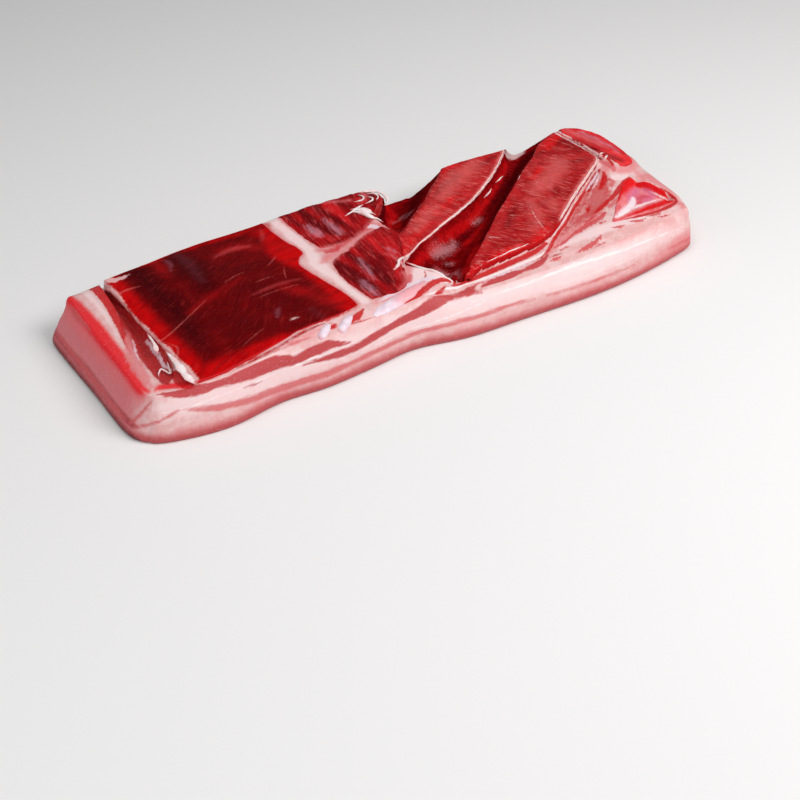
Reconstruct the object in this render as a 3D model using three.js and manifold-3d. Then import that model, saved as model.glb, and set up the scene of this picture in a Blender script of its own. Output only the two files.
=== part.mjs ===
// A slab of raw pork belly, about 470 x 171 x 38 mm, lying on its rind with the rib side up.
// The slab is one solid: its muscles, fat and rind are grown together. The folds, creases and
// torn hollows of the rib side are cut into it. Three pieces of rib cartilage show near the
// front edge, and each is a hard piece of its own, bedded in a pocket of the slab.
//
// Millimetres, +Z up. X runs along the slab, from the fat end (-X) to the folded end (+X), and
// +Y points to its back edge. Z = 0 is the face that the slab lies on.

import * as THREE from 'three';
import Module from 'manifold-3d';

const wasm = await Module();
wasm.setup();

// ---------------------------------------------------------------- driving dimensions

const MEAN_THICKNESS = 32.6;        // of the slab between its ends
const CROWN = { x: -35, reach: 100, rise: 3.5 };        // the slab is thickest here
const MUSCLE_DOME = { x: -112, y: 8, reachX: 62, reachY: 62, rise: 1.6 };
const THIN_END = { from: -120, to: -215, drop: 2.6 };   // the fat end is thinner
const FRONT_SHELF = { z: 28.2, riseToEnd: 2.6 };        // fat in front of the far fold
// In front of the big muscle the top slopes down to the side.
const FRONT_SLOPE = { x: -62, reach: 62, from: -47, to: -66, drop: 3.6 };
const CORNER_RISE = 1.2;            // of the last muscle at the folded end
const WAVES = [                     // slow unevenness: height, length along X and Y, phase
  [0.6, 131, 420, 0.4],
  [0.5, 260, 83, 1.9],
  [0.35, 71, -109, 3.1],
];

const EDGE_ROLL = { width: 6, drop: 1.1 };    // how the top rolls over into the sides
const BASE_ROLL = { height: 5, inset: 3 };    // how the sides roll under
// 0 is a flat slope, 1 a quarter ellipse. The front bulges more towards the folded end.
const SIDE_CONVEXITY = { frontNear: 0.4, frontFar: 0.92, right: 0.4, back: 0.3, left: 0.25 };
const SIDE_LEVELS = [0.88, 0.72, 0.52, 0.32, 0.14, 0.04, 0];   // shares of the height

const TOP_LENGTH = 445;             // about, between its rims
const TOP_WIDTH = 142;
const LENGTH_STEPS = 72;            // of the top surface
const WIDTH_STEPS = 24;

// Corner to corner, each edge is a smooth curve through its points. The slab's foot is wider
// than its top, because the cut sides lean outward.
const FOOT = {
  front: [[-222, -66], [-207, -73], [-181, -79], [-160, -80], [-128, -75.5], [-95, -78.5],
    [-55, -76.5], [-22, -74], [15, -83], [60, -86], [130, -90], [184, -86], [228, -78]],
  right: [[228, -78], [232, -55], [234, -20], [236, 20], [237, 50], [234, 68], [224, 79]],
  back: [[-227, 80], [-200, 81], [-150, 81], [-60, 82], [20, 81], [60, 79], [105, 81],
    [160, 81], [224, 79]],
  left: [[-222, -66], [-229.5, -49], [-229, 0], [-229, 60], [-227, 80]],
};
const TOP = {
  front: [[-208, -57], [-181, -61.5], [-120, -62], [-88, -64], [-50, -63], [-12, -60],
    [20, -64], [60, -69], [130, -71], [184, -70], [224, -67]],
  right: [[224, -67], [232, -50], [236, -20], [239, 15], [242, 42], [240, 58], [232, 70],
    [218, 79]],
  back: [[-207, 78], [-150, 78.5], [-100, 80], [-54, 81], [0, 81], [25, 80], [60, 78],
    [105, 79], [160, 79], [218, 79]],
  left: [[-208, -57], [-213, -44], [-211, 0], [-209, 40], [-207, 78]],
};

// The folds run slantwise over the slab. `along` is measured from FOLD_ORIGIN in the direction
// of FOLD_ANGLE, and `across` square to it, towards the front right corner.
const FOLD_ORIGIN = [10, -40];
const FOLD_ANGLE = THREE.MathUtils.degToRad(38);

// A valley has stations [along, near lip, floor, far crest, depth of the floor]. Its near wall
// is steep under the lip and its far wall is a slope up to the crest of the next muscle leaf.
const BACK_VALLEY = {
  origin: FOLD_ORIGIN,
  angle: FOLD_ANGLE,
  stations: [[43, -39, -37, -34, 1.5], [55, -57, -46, -34, 9], [66, -68, -52, -34, 14.5],
    [80, -62, -53, -34, 16], [89, -66, -54, -34, 16.5], [97, -95, -55, -34, 17],
    [125, -104, -54, -34, 17], [165, -104, -52, -35, 15]],
};
const FRONT_VALLEY = {
  origin: FOLD_ORIGIN,
  angle: FOLD_ANGLE,
  stations: [[3, -22, 7, 27, 10], [22, -19.4, 8, 24.8, 14], [50, -13.8, 6, 24.4, 13.5],
    [80, -6.6, 8, 24, 12.5], [110, 0.5, 11, 24, 11.5], [150, 3.6, 13, 24, 10.5],
    [190, 2.6, 13, 27, 9], [250, 1, 13, 35, 8]],
};
// The crease between the fat end and the big muscle, from the back edge to the front.
const END_CREASE = {
  origin: [-183, 84],
  angle: THREE.MathUtils.degToRad(-90),
  stations: [[0, -3.5, -1.5, 0.5, 9], [18, -2.5, 0.5, 2.5, 9.5], [41, -2.5, 1, 5.5, 9],
    [65, -3, 3, 10.5, 8.5], [86, -2.5, 8, 17, 7.5], [112, -3, 10, 21, 6], [136, -3, 9, 22, 3.5],
    [146, -2, 8, 18, 0.8]],
};
// The slit beside the last muscle at the folded end.
const CORNER_SLIT = {
  origin: [217, 66],
  angle: THREE.MathUtils.degToRad(-91),
  stations: [[0, -1.5, 0, 1.5, 1.5], [10, -2.2, 0, 2, 6], [34, -2.4, 0, 2, 6],
    [46, -1.5, 0, 1.5, 1]],
};
const CUT_TOP = 60;                 // cutters reach this high, above everything
const CUT_MARGIN = 2;               // a cutter's slopes run on this far above the surface

// The far muscle leaf lies on the front shelf, so its front and right edges are small walls.
const LEAF = {
  outline: [[26, -55], [44, -52.6], [72, -49.5], [96, -48.5], [112, -44], [128, -35.5],
    [155, -16.5], [186, 3.5], [206, 16.5], [213.5, 24], [214.5, 50], [214, 76.3], [180, 76.6],
    [150, 60], [70, -10], [24, -46]],
  z: 33.6,
  riseToCorner: 1.2,
  foot: 15,
};

// The three-cornered hollow in the fat of the folded end.
const HOLLOW = {
  corners: [[164, -55], [222.5, -54], [224, -30], [217.5, -12]],
  depth: 4,
  slope: 4.5,
};

// A muscle edge that has rolled up over the back valley.
const ROLLED_EDGE = { ends: [[9, 58, 30.5], [42, 69.5, 30.8]], halfWidth: 5, halfHeight: 4 };

// Rib cartilage: the two ends of each piece, half its width and height, and how far it stands
// out of the slab.
const CARTILAGE = [
  { ends: [[-93.5, -64], [-79.5, -55]], halfWidth: 3.7, halfHeight: 4, proud: 1.4 },
  { ends: [[-78.5, -64.5], [-62, -54.5]], halfWidth: 4, halfHeight: 4.4, proud: 1.5 },
  { ends: [[-53, -60.5], [9, -46]], halfWidth: 7, halfHeight: 6, proud: 1.6 },
];
const FIT_GAP = 0.3;                // between a cartilage and its pocket

const WALL_POWER = 3.4;             // how hollow a valley's near wall is
const SLOPE_POWER = 1.25;           // and its far slope

// ---------------------------------------------------------------- small helpers

const clamp01 = (value) => Math.min(Math.max(value, 0), 1);
const mix = (a, b, share) => a + (b - a) * share;
const smooth = (from, to, value) => {
  const share = clamp01((value - from) / (to - from));
  return share * share * (3 - 2 * share);
};
const bell = (offset, reach) => Math.exp(-((offset / reach) ** 2));
const curveThrough = (points) => new THREE.SplineCurve(
  points.map(([x, y]) => new THREE.Vector2(x, y)));

// Position along and across the fold direction.
function foldPlace(x, y, origin = FOLD_ORIGIN, angle = FOLD_ANGLE) {
  const dx = x - origin[0];
  const dy = y - origin[1];
  return {
    along: dx * Math.cos(angle) + dy * Math.sin(angle),
    across: dx * Math.sin(angle) - dy * Math.cos(angle),
  };
}

// The reverse of foldPlace.
function planPlace(along, across, origin, angle) {
  return [
    origin[0] + along * Math.cos(angle) + across * Math.sin(angle),
    origin[1] + along * Math.sin(angle) - across * Math.cos(angle),
  ];
}

// ---------------------------------------------------------------- heights

function waves(x, y) {
  return WAVES.reduce((sum, [height, lengthX, lengthY, phase]) => (
    sum + height * Math.sin(2 * Math.PI * (x / lengthX + y / lengthY) + phase)), 0);
}

// The rib side before any valley is cut: crowned muscle, thin fat end, low front shelf.
function baseHeight(x, y) {
  const { across } = foldPlace(x, y);
  const body = MEAN_THICKNESS
    + CROWN.rise * bell(x - CROWN.x, CROWN.reach)
    + MUSCLE_DOME.rise * bell(x - MUSCLE_DOME.x, MUSCLE_DOME.reachX)
      * bell(y - MUSCLE_DOME.y, MUSCLE_DOME.reachY)
    - THIN_END.drop * smooth(THIN_END.from, THIN_END.to, x)
    - FRONT_SLOPE.drop * bell(x - FRONT_SLOPE.x, FRONT_SLOPE.reach)
      * smooth(FRONT_SLOPE.from, FRONT_SLOPE.to, y);
  const shelf = FRONT_SHELF.z + FRONT_SHELF.riseToEnd * smooth(60, 200, x);
  const behindCorner = smooth(205, 219, x) * smooth(-6, 12, y);
  const shelfShare = smooth(2, 24, across) * (1 - behindCorner);
  return mix(body + CORNER_RISE * behindCorner, shelf, shelfShare) + waves(x, y);
}

function leafHeight(x, y) {
  return LEAF.z + LEAF.riseToCorner * smooth(90, 210, x) + waves(x, y);
}

// ---------------------------------------------------------------- solids

function solidFrom(positions, triangles) {
  return new wasm.Manifold(new wasm.Mesh({
    numProp: 3,
    vertProperties: new Float32Array(positions.flat()),
    triVerts: new Uint32Array(triangles.flat()),
  }));
}

// Rings of equal length, stacked and closed by a cap over the first and the last.
function stackedSolid(rings, capTriangles) {
  const count = rings[0].length;
  const triangles = [];
  for (let ring = 0; ring + 1 < rings.length; ring += 1) {
    for (let k = 0; k < count; k += 1) {
      const a = ring * count + k;
      const b = ring * count + (k + 1) % count;
      triangles.push([a, b, b + count], [a, b + count, a + count]);
    }
  }
  const last = (rings.length - 1) * count;
  for (const [a, b, c] of capTriangles) {
    triangles.push([c, b, a], [last + a, last + b, last + c]);
  }
  return solidFrom(rings.flat(), triangles);
}

// A patch bounded by four edge curves: the place at share u of the length, v of the width.
function patch(edges) {
  const curve = Object.fromEntries(
    Object.entries(edges).map(([name, points]) => [name, curveThrough(points)]));
  return (u, v) => {
    const acrossWidth = curve.front.getPointAt(u).lerp(curve.back.getPointAt(u), v);
    const alongLength = curve.left.getPointAt(v).lerp(curve.right.getPointAt(v), u);
    const betweenCorners = curve.front.getPoint(0).lerp(curve.front.getPoint(1), u)
      .lerp(curve.back.getPoint(0).lerp(curve.back.getPoint(1), u), v);
    return acrossWidth.add(alongLength).sub(betweenCorners).toArray();
  };
}

// The whole slab with its smooth top, rounded edges and leaning sides.
function plainSlab() {
  const topPlace = patch(TOP);
  const footPlace = patch(FOOT);
  const rowLength = LENGTH_STEPS + 1;
  const positions = [];
  const triangles = [];

  for (let j = 0; j <= WIDTH_STEPS; j += 1) {
    for (let i = 0; i <= LENGTH_STEPS; i += 1) {
      const u = i / LENGTH_STEPS;
      const v = j / WIDTH_STEPS;
      const [x, y] = topPlace(u, v);
      const toEdge = Math.min(u * TOP_LENGTH, (1 - u) * TOP_LENGTH, v * TOP_WIDTH,
        (1 - v) * TOP_WIDTH);
      const roll = EDGE_ROLL.drop * (1 - smooth(0, EDGE_ROLL.width, toEdge));
      positions.push([x, y, baseHeight(x, y) - roll]);
    }
  }
  for (let j = 0; j < WIDTH_STEPS; j += 1) {
    for (let i = 0; i < LENGTH_STEPS; i += 1) {
      const a = j * rowLength + i;
      const d = a + rowLength;
      triangles.push([a, a + 1, d + 1], [a, d + 1, d]);
    }
  }

  // The rim, counter-clockwise from the front left corner, with each place's convexity.
  const rim = [];
  const convexity = SIDE_CONVEXITY;
  for (let i = 0; i < LENGTH_STEPS; i += 1) {
    const bulge = smooth(0.35, 0.7, i / LENGTH_STEPS);
    rim.push([i, 0, mix(convexity.frontNear, convexity.frontFar, bulge)]);
  }
  for (let j = 0; j < WIDTH_STEPS; j += 1) {
    const turn = smooth(0, 0.2, j / WIDTH_STEPS);
    rim.push([LENGTH_STEPS, j, mix(convexity.frontFar, convexity.right, turn)]);
  }
  for (let i = LENGTH_STEPS; i > 0; i -= 1) rim.push([i, WIDTH_STEPS, convexity.back]);
  for (let j = WIDTH_STEPS; j > 0; j -= 1) rim.push([0, j, convexity.left]);
  const feet = rim.map(([i, j]) => footPlace(i / LENGTH_STEPS, j / WIDTH_STEPS));
  const outward = feet.map((_, k) => {
    const before = feet[(k + feet.length - 1) % feet.length];
    const after = feet[(k + 1) % feet.length];
    const run = Math.hypot(after[0] - before[0], after[1] - before[1]);
    return [(after[1] - before[1]) / run, (before[0] - after[0]) / run];
  });

  let upper = rim.map(([i, j]) => j * rowLength + i);
  for (const level of SIDE_LEVELS) {
    const lower = rim.map(([i, j, bulge], k) => {
      const [topX, topY, topZ] = positions[j * rowLength + i];
      const lean = mix(1 - level, Math.sqrt(1 - level * level), bulge);
      const z = level * topZ;
      const tuck = BASE_ROLL.inset * (1 - Math.min(z / BASE_ROLL.height, 1)) ** 2;
      positions.push([
        mix(topX, feet[k][0], lean) - tuck * outward[k][0],
        mix(topY, feet[k][1], lean) - tuck * outward[k][1],
        z,
      ]);
      return positions.length - 1;
    });
    for (let k = 0; k < rim.length; k += 1) {
      const next = (k + 1) % rim.length;
      triangles.push([upper[k], lower[k], lower[next]], [upper[k], lower[next], upper[next]]);
    }
    upper = lower;
  }

  const sole = upper.map((index) => new THREE.Vector2(...positions[index]));
  for (const [a, b, c] of THREE.ShapeUtils.triangulateShape(sole, [])) {
    triangles.push([upper[c], upper[b], upper[a]]);
  }
  return solidFrom(positions, triangles);
}

// What is cut away between the two lips of a valley, from its floor up to CUT_TOP.
function valleyCutter(valley, heightAt, stepCount) {
  const { origin, angle, stations } = valley;
  const SLOPE = [1, 0.85, 0.6, 0.3];              // shares of the way from floor to crest
  const WALL = [0, 0.38, 0.68, 0.88, 1];          // shares of the way from floor to lip
  const columns = stations[0].map((_, column) => curveThrough(
    stations.map((station, index) => [index, station[column]])));
  const rings = [];
  for (let step = 0; step <= stepCount; step += 1) {
    const [along, lip, floor, crest, depth] = columns.map(
      (column) => column.getPoint(step / stepCount).y);
    const lipHeight = heightAt.lip(...planPlace(along, lip, origin, angle));
    const crestHeight = heightAt.crest(...planPlace(along, crest, origin, angle));
    const floorHeight = Math.min(lipHeight, crestHeight) - depth;
    const lipRun = CUT_MARGIN * (floor - lip) / (WALL_POWER * (lipHeight - floorHeight));
    const crestRun = CUT_MARGIN * (crest - floor) / (SLOPE_POWER * (crestHeight - floorHeight));
    const profile = [
      [crest + crestRun, CUT_TOP],
      [crest + crestRun, crestHeight + CUT_MARGIN],
      ...SLOPE.map((way) => [
        mix(floor, crest, way), mix(floorHeight, crestHeight, way ** SLOPE_POWER)]),
      ...WALL.map((way) => [
        mix(floor, lip, way), mix(lipHeight, floorHeight, 1 - way ** WALL_POWER)]),
      [lip - lipRun, lipHeight + CUT_MARGIN],
      [lip - lipRun, CUT_TOP],
    ];
    rings.push(profile.map(([across, z]) => [...planPlace(along, across, origin, angle), z]));
  }
  const count = rings[0].length;
  const cap = [];
  for (let k = 1; k + 1 < count - 1; k += 1) cap.push([0, k, k + 1]);
  cap.push([0, count - 2, count - 1]);
  return stackedSolid(rings, cap);
}

// An upright prism over a plan outline.
function prism(points, bottom, top) {
  const contour = points.map(([x, y]) => new THREE.Vector2(x, y));
  if (THREE.ShapeUtils.isClockWise(contour)) contour.reverse();
  const rings = [bottom, top].map((z) => contour.map(({ x, y }) => [x, y, z]));
  return stackedSolid(rings, THREE.ShapeUtils.triangulateShape(contour, []));
}

// A block whose top follows a height function, over a rectangle of the plan.
function blockUnder(heightAt, [x0, x1], [y0, y1], bottom, spacing) {
  const columns = Math.round((x1 - x0) / spacing);
  const rows = Math.round((y1 - y0) / spacing);
  const positions = [];
  const triangles = [];
  const index = (i, j) => j * (columns + 1) + i;
  for (let j = 0; j <= rows; j += 1) {
    for (let i = 0; i <= columns; i += 1) {
      const x = mix(x0, x1, i / columns);
      const y = mix(y0, y1, j / rows);
      positions.push([x, y, heightAt(x, y)]);
    }
  }
  for (let j = 0; j < rows; j += 1) {
    for (let i = 0; i < columns; i += 1) {
      triangles.push([index(i, j), index(i + 1, j), index(i + 1, j + 1)]);
      triangles.push([index(i, j), index(i + 1, j + 1), index(i, j + 1)]);
    }
  }
  const rim = [];
  for (let i = 0; i < columns; i += 1) rim.push(index(i, 0));
  for (let j = 0; j < rows; j += 1) rim.push(index(columns, j));
  for (let i = columns; i > 0; i -= 1) rim.push(index(i, rows));
  for (let j = rows; j > 0; j -= 1) rim.push(index(0, j));
  const low = positions.length;
  for (const top of rim) positions.push([positions[top][0], positions[top][1], bottom]);
  const centre = positions.length;
  positions.push([(x0 + x1) / 2, (y0 + y1) / 2, bottom]);
  rim.forEach((top, k) => {
    const next = (k + 1) % rim.length;
    triangles.push([top, low + k, low + next], [top, low + next, rim[next]]);
    triangles.push([low + next, low + k, centre]);
  });
  return solidFrom(positions, triangles);
}

// The far muscle leaf: the part under its own height that its outline holds.
function muscleLeaf() {
  const outline = curveThrough([...LEAF.outline, LEAF.outline[0]]).getPoints(64).slice(0, -1);
  const raised = blockUnder(leafHeight, [18, 222], [-62, 82], LEAF.foot, 9);
  return raised.intersect(prism(outline.map(({ x, y }) => [x, y]), LEAF.foot - 1, CUT_TOP));
}

// The hollow's cutter: sides that slope down to a smaller floor.
function hollowCutter() {
  const centreX = HOLLOW.corners.reduce((sum, [x]) => sum + x, 0) / HOLLOW.corners.length;
  const centreY = HOLLOW.corners.reduce((sum, [, y]) => sum + y, 0) / HOLLOW.corners.length;
  const rimCurve = curveThrough([...HOLLOW.corners, HOLLOW.corners[0]]);
  const rim = rimCurve.getPoints(28).slice(0, -1).map(({ x, y }) => [x, y]);
  const drawIn = ([x, y], distance) => {
    const reach = Math.hypot(x - centreX, y - centreY);
    return [x + (centreX - x) * distance / reach, y + (centreY - y) * distance / reach];
  };
  const ringAt = (distance, lift) => rim.map((place) => {
    const [x, y] = drawIn(place, distance);
    return [x, y, baseHeight(x, y) + lift];
  });
  const spread = HOLLOW.slope * CUT_MARGIN / HOLLOW.depth;
  const rings = [ringAt(HOLLOW.slope, -HOLLOW.depth), ringAt(-spread, CUT_MARGIN)];
  rings.push(rings[1].map(([x, y]) => [x, y, CUT_TOP]));
  const floor = rings[0].map(([x, y]) => new THREE.Vector2(x, y));
  return stackedSolid(rings, THREE.ShapeUtils.triangulateShape(floor, []));
}

// A rod that tapers to both ends round a straight axis.
function spindle([from, to], halfWidth, halfHeight, grow = 0) {
  const SECTIONS = 12;
  const SIDES = 16;
  const start = new THREE.Vector3(...from);
  const end = new THREE.Vector3(...to);
  const axis = end.clone().sub(start).normalize();
  start.addScaledVector(axis, -grow);
  end.addScaledVector(axis, grow);
  const sideways = new THREE.Vector3(-axis.y, axis.x, 0).normalize();
  const upward = axis.clone().cross(sideways).normalize();
  const rings = [];
  for (let section = 0; section <= SECTIONS; section += 1) {
    const turn = Math.PI * (section + 0.35) / (SECTIONS + 0.7);
    const way = (1 - Math.cos(turn)) / 2;
    const girth = Math.sin(turn) ** 0.62;
    const centre = start.clone().lerp(end, way);
    rings.push(Array.from({ length: SIDES }, (_, k) => {
      const round = 2 * Math.PI * k / SIDES;
      return centre.clone()
        .addScaledVector(sideways, (halfWidth + grow) * girth * Math.cos(round))
        .addScaledVector(upward, (halfHeight + grow) * girth * Math.sin(round))
        .toArray();
    }));
  }
  const cap = [];
  for (let k = 1; k + 1 < SIDES; k += 1) cap.push([0, k, k + 1]);
  return stackedSolid(rings, cap);
}

// The axis ends of a cartilage, so far below the surface that it stands out as it should.
function axisEnds({ ends, halfHeight, proud }) {
  return ends.map(([x, y]) => [x, y, baseHeight(x, y) + proud - halfHeight]);
}

function meshOf(solid, name, material) {
  const { vertProperties, triVerts } = solid.getMesh();
  const geometry = new THREE.BufferGeometry();
  geometry.setAttribute('position', new THREE.BufferAttribute(vertProperties, 3));
  geometry.setIndex(new THREE.BufferAttribute(triVerts, 1));
  geometry.computeVertexNormals();
  const mesh = new THREE.Mesh(geometry, material);
  mesh.name = name;
  return mesh;
}

// ---------------------------------------------------------------- the part

const cartilageMaterial = new THREE.MeshStandardMaterial({ color: '#e6dce4', roughness: 0.4 });
const slabMaterial = new THREE.MeshStandardMaterial({ color: '#b4484a', roughness: 0.45 });

const valleys = [
  [BACK_VALLEY, { lip: baseHeight, crest: baseHeight }, 22],
  [FRONT_VALLEY, { lip: baseHeight, crest: leafHeight }, 30],
  [END_CREASE, { lip: baseHeight, crest: baseHeight }, 26],
  [CORNER_SLIT, { lip: baseHeight, crest: leafHeight }, 10],
];

let slab = plainSlab().add(muscleLeaf());
for (const [valley, heightAt, stepCount] of valleys) {
  slab = slab.subtract(valleyCutter(valley, heightAt, stepCount));
}
slab = slab.subtract(hollowCutter());
slab = slab.add(spindle(ROLLED_EDGE.ends, ROLLED_EDGE.halfWidth, ROLLED_EDGE.halfHeight));
for (const piece of CARTILAGE) {
  slab = slab.subtract(spindle(axisEnds(piece), piece.halfWidth, piece.halfHeight, FIT_GAP));
}

const porkBelly = new THREE.Group();
porkBelly.add(meshOf(slab, 'pork_belly_slab', slabMaterial));
CARTILAGE.forEach((piece, index) => {
  const rod = spindle(axisEnds(piece), piece.halfWidth, piece.halfHeight);
  porkBelly.add(meshOf(rod, `costal_cartilage_${index + 1}`, cartilageMaterial));
});

// The origin is under the middle of the slab's box.
const box = new THREE.Box3().setFromObject(porkBelly);
porkBelly.position.set(-(box.min.x + box.max.x) / 2, -(box.min.y + box.max.y) / 2, -box.min.z);

export default porkBelly;
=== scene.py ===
"""Looks of a slab of raw pork belly that lies on its rind, rib side up.

The slab is one body of fat and layered lean with muscles laid into it. All sizes are slab
millimetres: X runs along the slab, from the plain fat end to the folded end, Y points to its
back edge and Z is up from the face that it lies on.
"""

import logging
import math
from dataclasses import dataclass, replace
from enum import Enum

import bpy
import numpy as np
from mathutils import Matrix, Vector


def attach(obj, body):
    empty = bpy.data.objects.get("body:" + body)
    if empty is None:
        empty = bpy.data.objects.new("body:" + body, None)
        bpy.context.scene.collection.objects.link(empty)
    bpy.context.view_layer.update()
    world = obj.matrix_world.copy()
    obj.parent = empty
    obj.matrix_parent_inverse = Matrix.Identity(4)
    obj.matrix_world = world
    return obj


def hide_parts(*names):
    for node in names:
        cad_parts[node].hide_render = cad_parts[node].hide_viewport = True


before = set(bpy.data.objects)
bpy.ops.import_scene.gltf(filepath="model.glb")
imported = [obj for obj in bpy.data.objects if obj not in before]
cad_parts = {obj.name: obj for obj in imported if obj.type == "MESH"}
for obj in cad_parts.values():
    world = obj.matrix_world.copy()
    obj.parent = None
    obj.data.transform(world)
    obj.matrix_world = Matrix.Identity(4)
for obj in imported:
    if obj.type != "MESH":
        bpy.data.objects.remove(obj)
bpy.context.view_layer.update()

Array = np.ndarray
Point = tuple[float, ...]
Line = tuple[Point, ...]
Lines = tuple[Line, ...]
Colour = tuple[int, int, int]
Numbers = dict[str, Array]
Paint = tuple[tuple[str, Lines], ...]
Socket = bpy.types.NodeSocket
Object = bpy.types.Object

LOG = logging.getLogger("belly")
MILLIMETRE = 0.001
# The row frame's origin, which is under the middle of the slab, in slab millimetres.
ORIGIN = np.array([7.015, -3.777, 0])
TINY = 1e-9            # keeps a length that is divided by above nought
UNPAINTED = -9         # a painted depth well outside all paint, in millimetres
EDGE_OF_PAINT = 20     # painted depths are kept within this many millimetres


# ---- arithmetic of shapes


def smooth(low: float, high: float, value: Array) -> Array:
    """A soft step.

    Args:
        low: Value at which the step starts from 0.
        high: Value at which it reaches 1.
        value: Where to read it.

    Returns:
        Shares from 0 to 1.
    """
    share = np.clip((value - low) / (high - low), 0, 1)
    return share * share * (3 - 2 * share)


def bell(offset: Array, reach: float) -> Array:
    """Returns a bell curve of height 1 that fades over the reach."""
    return np.exp(-((offset / reach) ** 2))


def mix(low: Array, high: Array, share: Array) -> Array:
    """Returns the value that is this share of the way from low to high."""
    return low + (high - low) * share


def curve_through(points: Line, count: int) -> Array:
    """A smooth curve through points.

    Args:
        points: The points that it passes, each with the same number of values.
        count: How many samples to take, evenly between the points.

    Returns:
        The samples, one a row.
    """
    corners = np.asarray(points, float)
    last = len(corners) - 1
    place = np.linspace(0, last, count)
    low = np.minimum(place.astype(int), last)
    way = (place - low)[:, None]
    before, here = corners[np.maximum(low - 1, 0)], corners[low]
    after, beyond = corners[np.minimum(low + 1, last)], corners[np.minimum(low + 2, last)]
    leave, arrive = (after - before) / 2, (beyond - here) / 2
    return (
        (2 * here - 2 * after + leave + arrive) * way**3
        + (-3 * here + 3 * after - 2 * leave - arrive) * way**2
        + leave * way
        + here
    )


def along_curve(points: Line, shares: Array) -> Array:
    """Points of a smooth curve at shares of its length.

    Args:
        points: The points that the curve passes.
        shares: Shares of the length, from 0 to 1.

    Returns:
        The points, one a row.
    """
    fine = curve_through(points, 40 * (len(points) - 1) + 1)
    steps = np.linalg.norm(np.diff(fine[:, :2], axis=0), axis=1)
    run = np.concatenate([[0], np.cumsum(steps)])
    run /= run[-1]
    return np.stack([np.interp(shares, run, column) for column in fine.T], -1)


def lattice(x: Array, y: Array, z: Array, seed: int) -> Array:
    """Random numbers for whole-numbered places.

    Args:
        x: First coordinates.
        y: Second coordinates.
        z: Third coordinates.
        seed: Which random numbers.

    Returns:
        A number from 0 to 1 for each place.
    """
    mixed = x * 374761393 + y * 668265263 + z * 1440662683 + seed * 974634777
    mixed = (mixed ^ (mixed >> 13)) * 1274126177
    mixed = (mixed ^ (mixed >> 16)) * 2246822519
    return ((mixed ^ (mixed >> 15)) & 0xFFFFFF) / float(0x1000000)


def rumple(x: Array, y: Array, z: Array, seed: int, octaves: int = 3) -> Array:
    """Smooth random unevenness.

    Args:
        x: First coordinate, in lengths of the coarsest lump.
        y: Second coordinate.
        z: Third coordinate.
        seed: Which unevenness.
        octaves: How many finer layers, each twice as fine and half as high.

    Returns:
        Heights from about -1 to 1.
    """
    x, y, z = np.broadcast_arrays(*(np.asarray(v, float) for v in (x, y, z)))
    total, weight, height = np.zeros(x.shape), 0, 1
    for octave in range(octaves):
        scale = 2**octave
        cells, ways = [], []
        for value in (x, y, z):
            place = value * scale + 31.7 * octave
            cell = np.floor(place)
            way = place - cell
            cells.append(cell.astype(np.int64))
            ways.append(way * way * (3 - 2 * way))
        found = np.zeros(x.shape)
        for corner in range(8):
            far = [(corner >> axis) & 1 for axis in range(3)]
            share = np.ones(x.shape)
            for axis in range(3):
                share = share * (ways[axis] if far[axis] else 1 - ways[axis])
            found += share * lattice(*(c + f for c, f in zip(cells, far)), seed + octave)
        total += height * (2 * found - 1)
        weight += height
        height *= 0.5
    return total / weight


def reach_of(x: Array, y: Array, start: Array, end: Array) -> tuple[Array, Array]:
    """How far places lie from a straight piece.

    Args:
        x: First coordinates.
        y: Second coordinates.
        start: Where the piece starts.
        end: Where it ends.

    Returns:
        The distances, and how far along the piece the nearest spot lies, from 0 to 1.
    """
    (ax, ay), (ex, ey) = start[:2], (end - start)[:2]
    way = np.clip(((x - ax) * ex + (y - ay) * ey) / (ex * ex + ey * ey + TINY), 0, 1)
    return np.hypot(x - ax - way * ex, y - ay - way * ey), way


def loop_depth(x: Array, y: Array, corners: Line, count: int = 140) -> Array:
    """How deep places lie inside a smooth closed outline.

    Args:
        x: First coordinates.
        y: Second coordinates.
        corners: The outline's points, in order.
        count: How many straight pieces stand for it.

    Returns:
        The distance to the outline in millimetres, negative outside it.
    """
    outline = curve_through(tuple(corners) + (corners[0],), count)[:, :2]
    nearest, inside = np.full(np.shape(x), np.inf), np.zeros(np.shape(x), bool)
    for start, end in zip(outline[:-1], outline[1:]):
        nearest = np.minimum(nearest, reach_of(x, y, start, end)[0])
        (ax, ay), (bx, by) = start, end
        if ay != by:
            crosses = (ay > y) != (by > y)
            inside ^= crosses & (x < (bx - ax) * (y - ay) / (by - ay) + ax)
    return np.where(inside, nearest, -nearest)


def stroke_depth(x: Array, y: Array, strokes: Lines) -> Array:
    """How deep places lie inside tapering strokes.

    Args:
        x: First coordinates.
        y: Second coordinates.
        strokes: Each stroke's stations: two coordinates and half its width there.

    Returns:
        The distance to the nearest stroke's edge in millimetres, negative outside.
    """
    best = np.full(np.shape(x), -1e3)
    for stroke in strokes:
        stations = curve_through(stroke, 5 * (len(stroke) - 1) + 1)
        for start, end in zip(stations[:-1], stations[1:]):
            off, way = reach_of(x, y, start, end)
            best = np.maximum(best, mix(start[2], end[2], way) - off)
    return best


# ---- the slab's form


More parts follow.
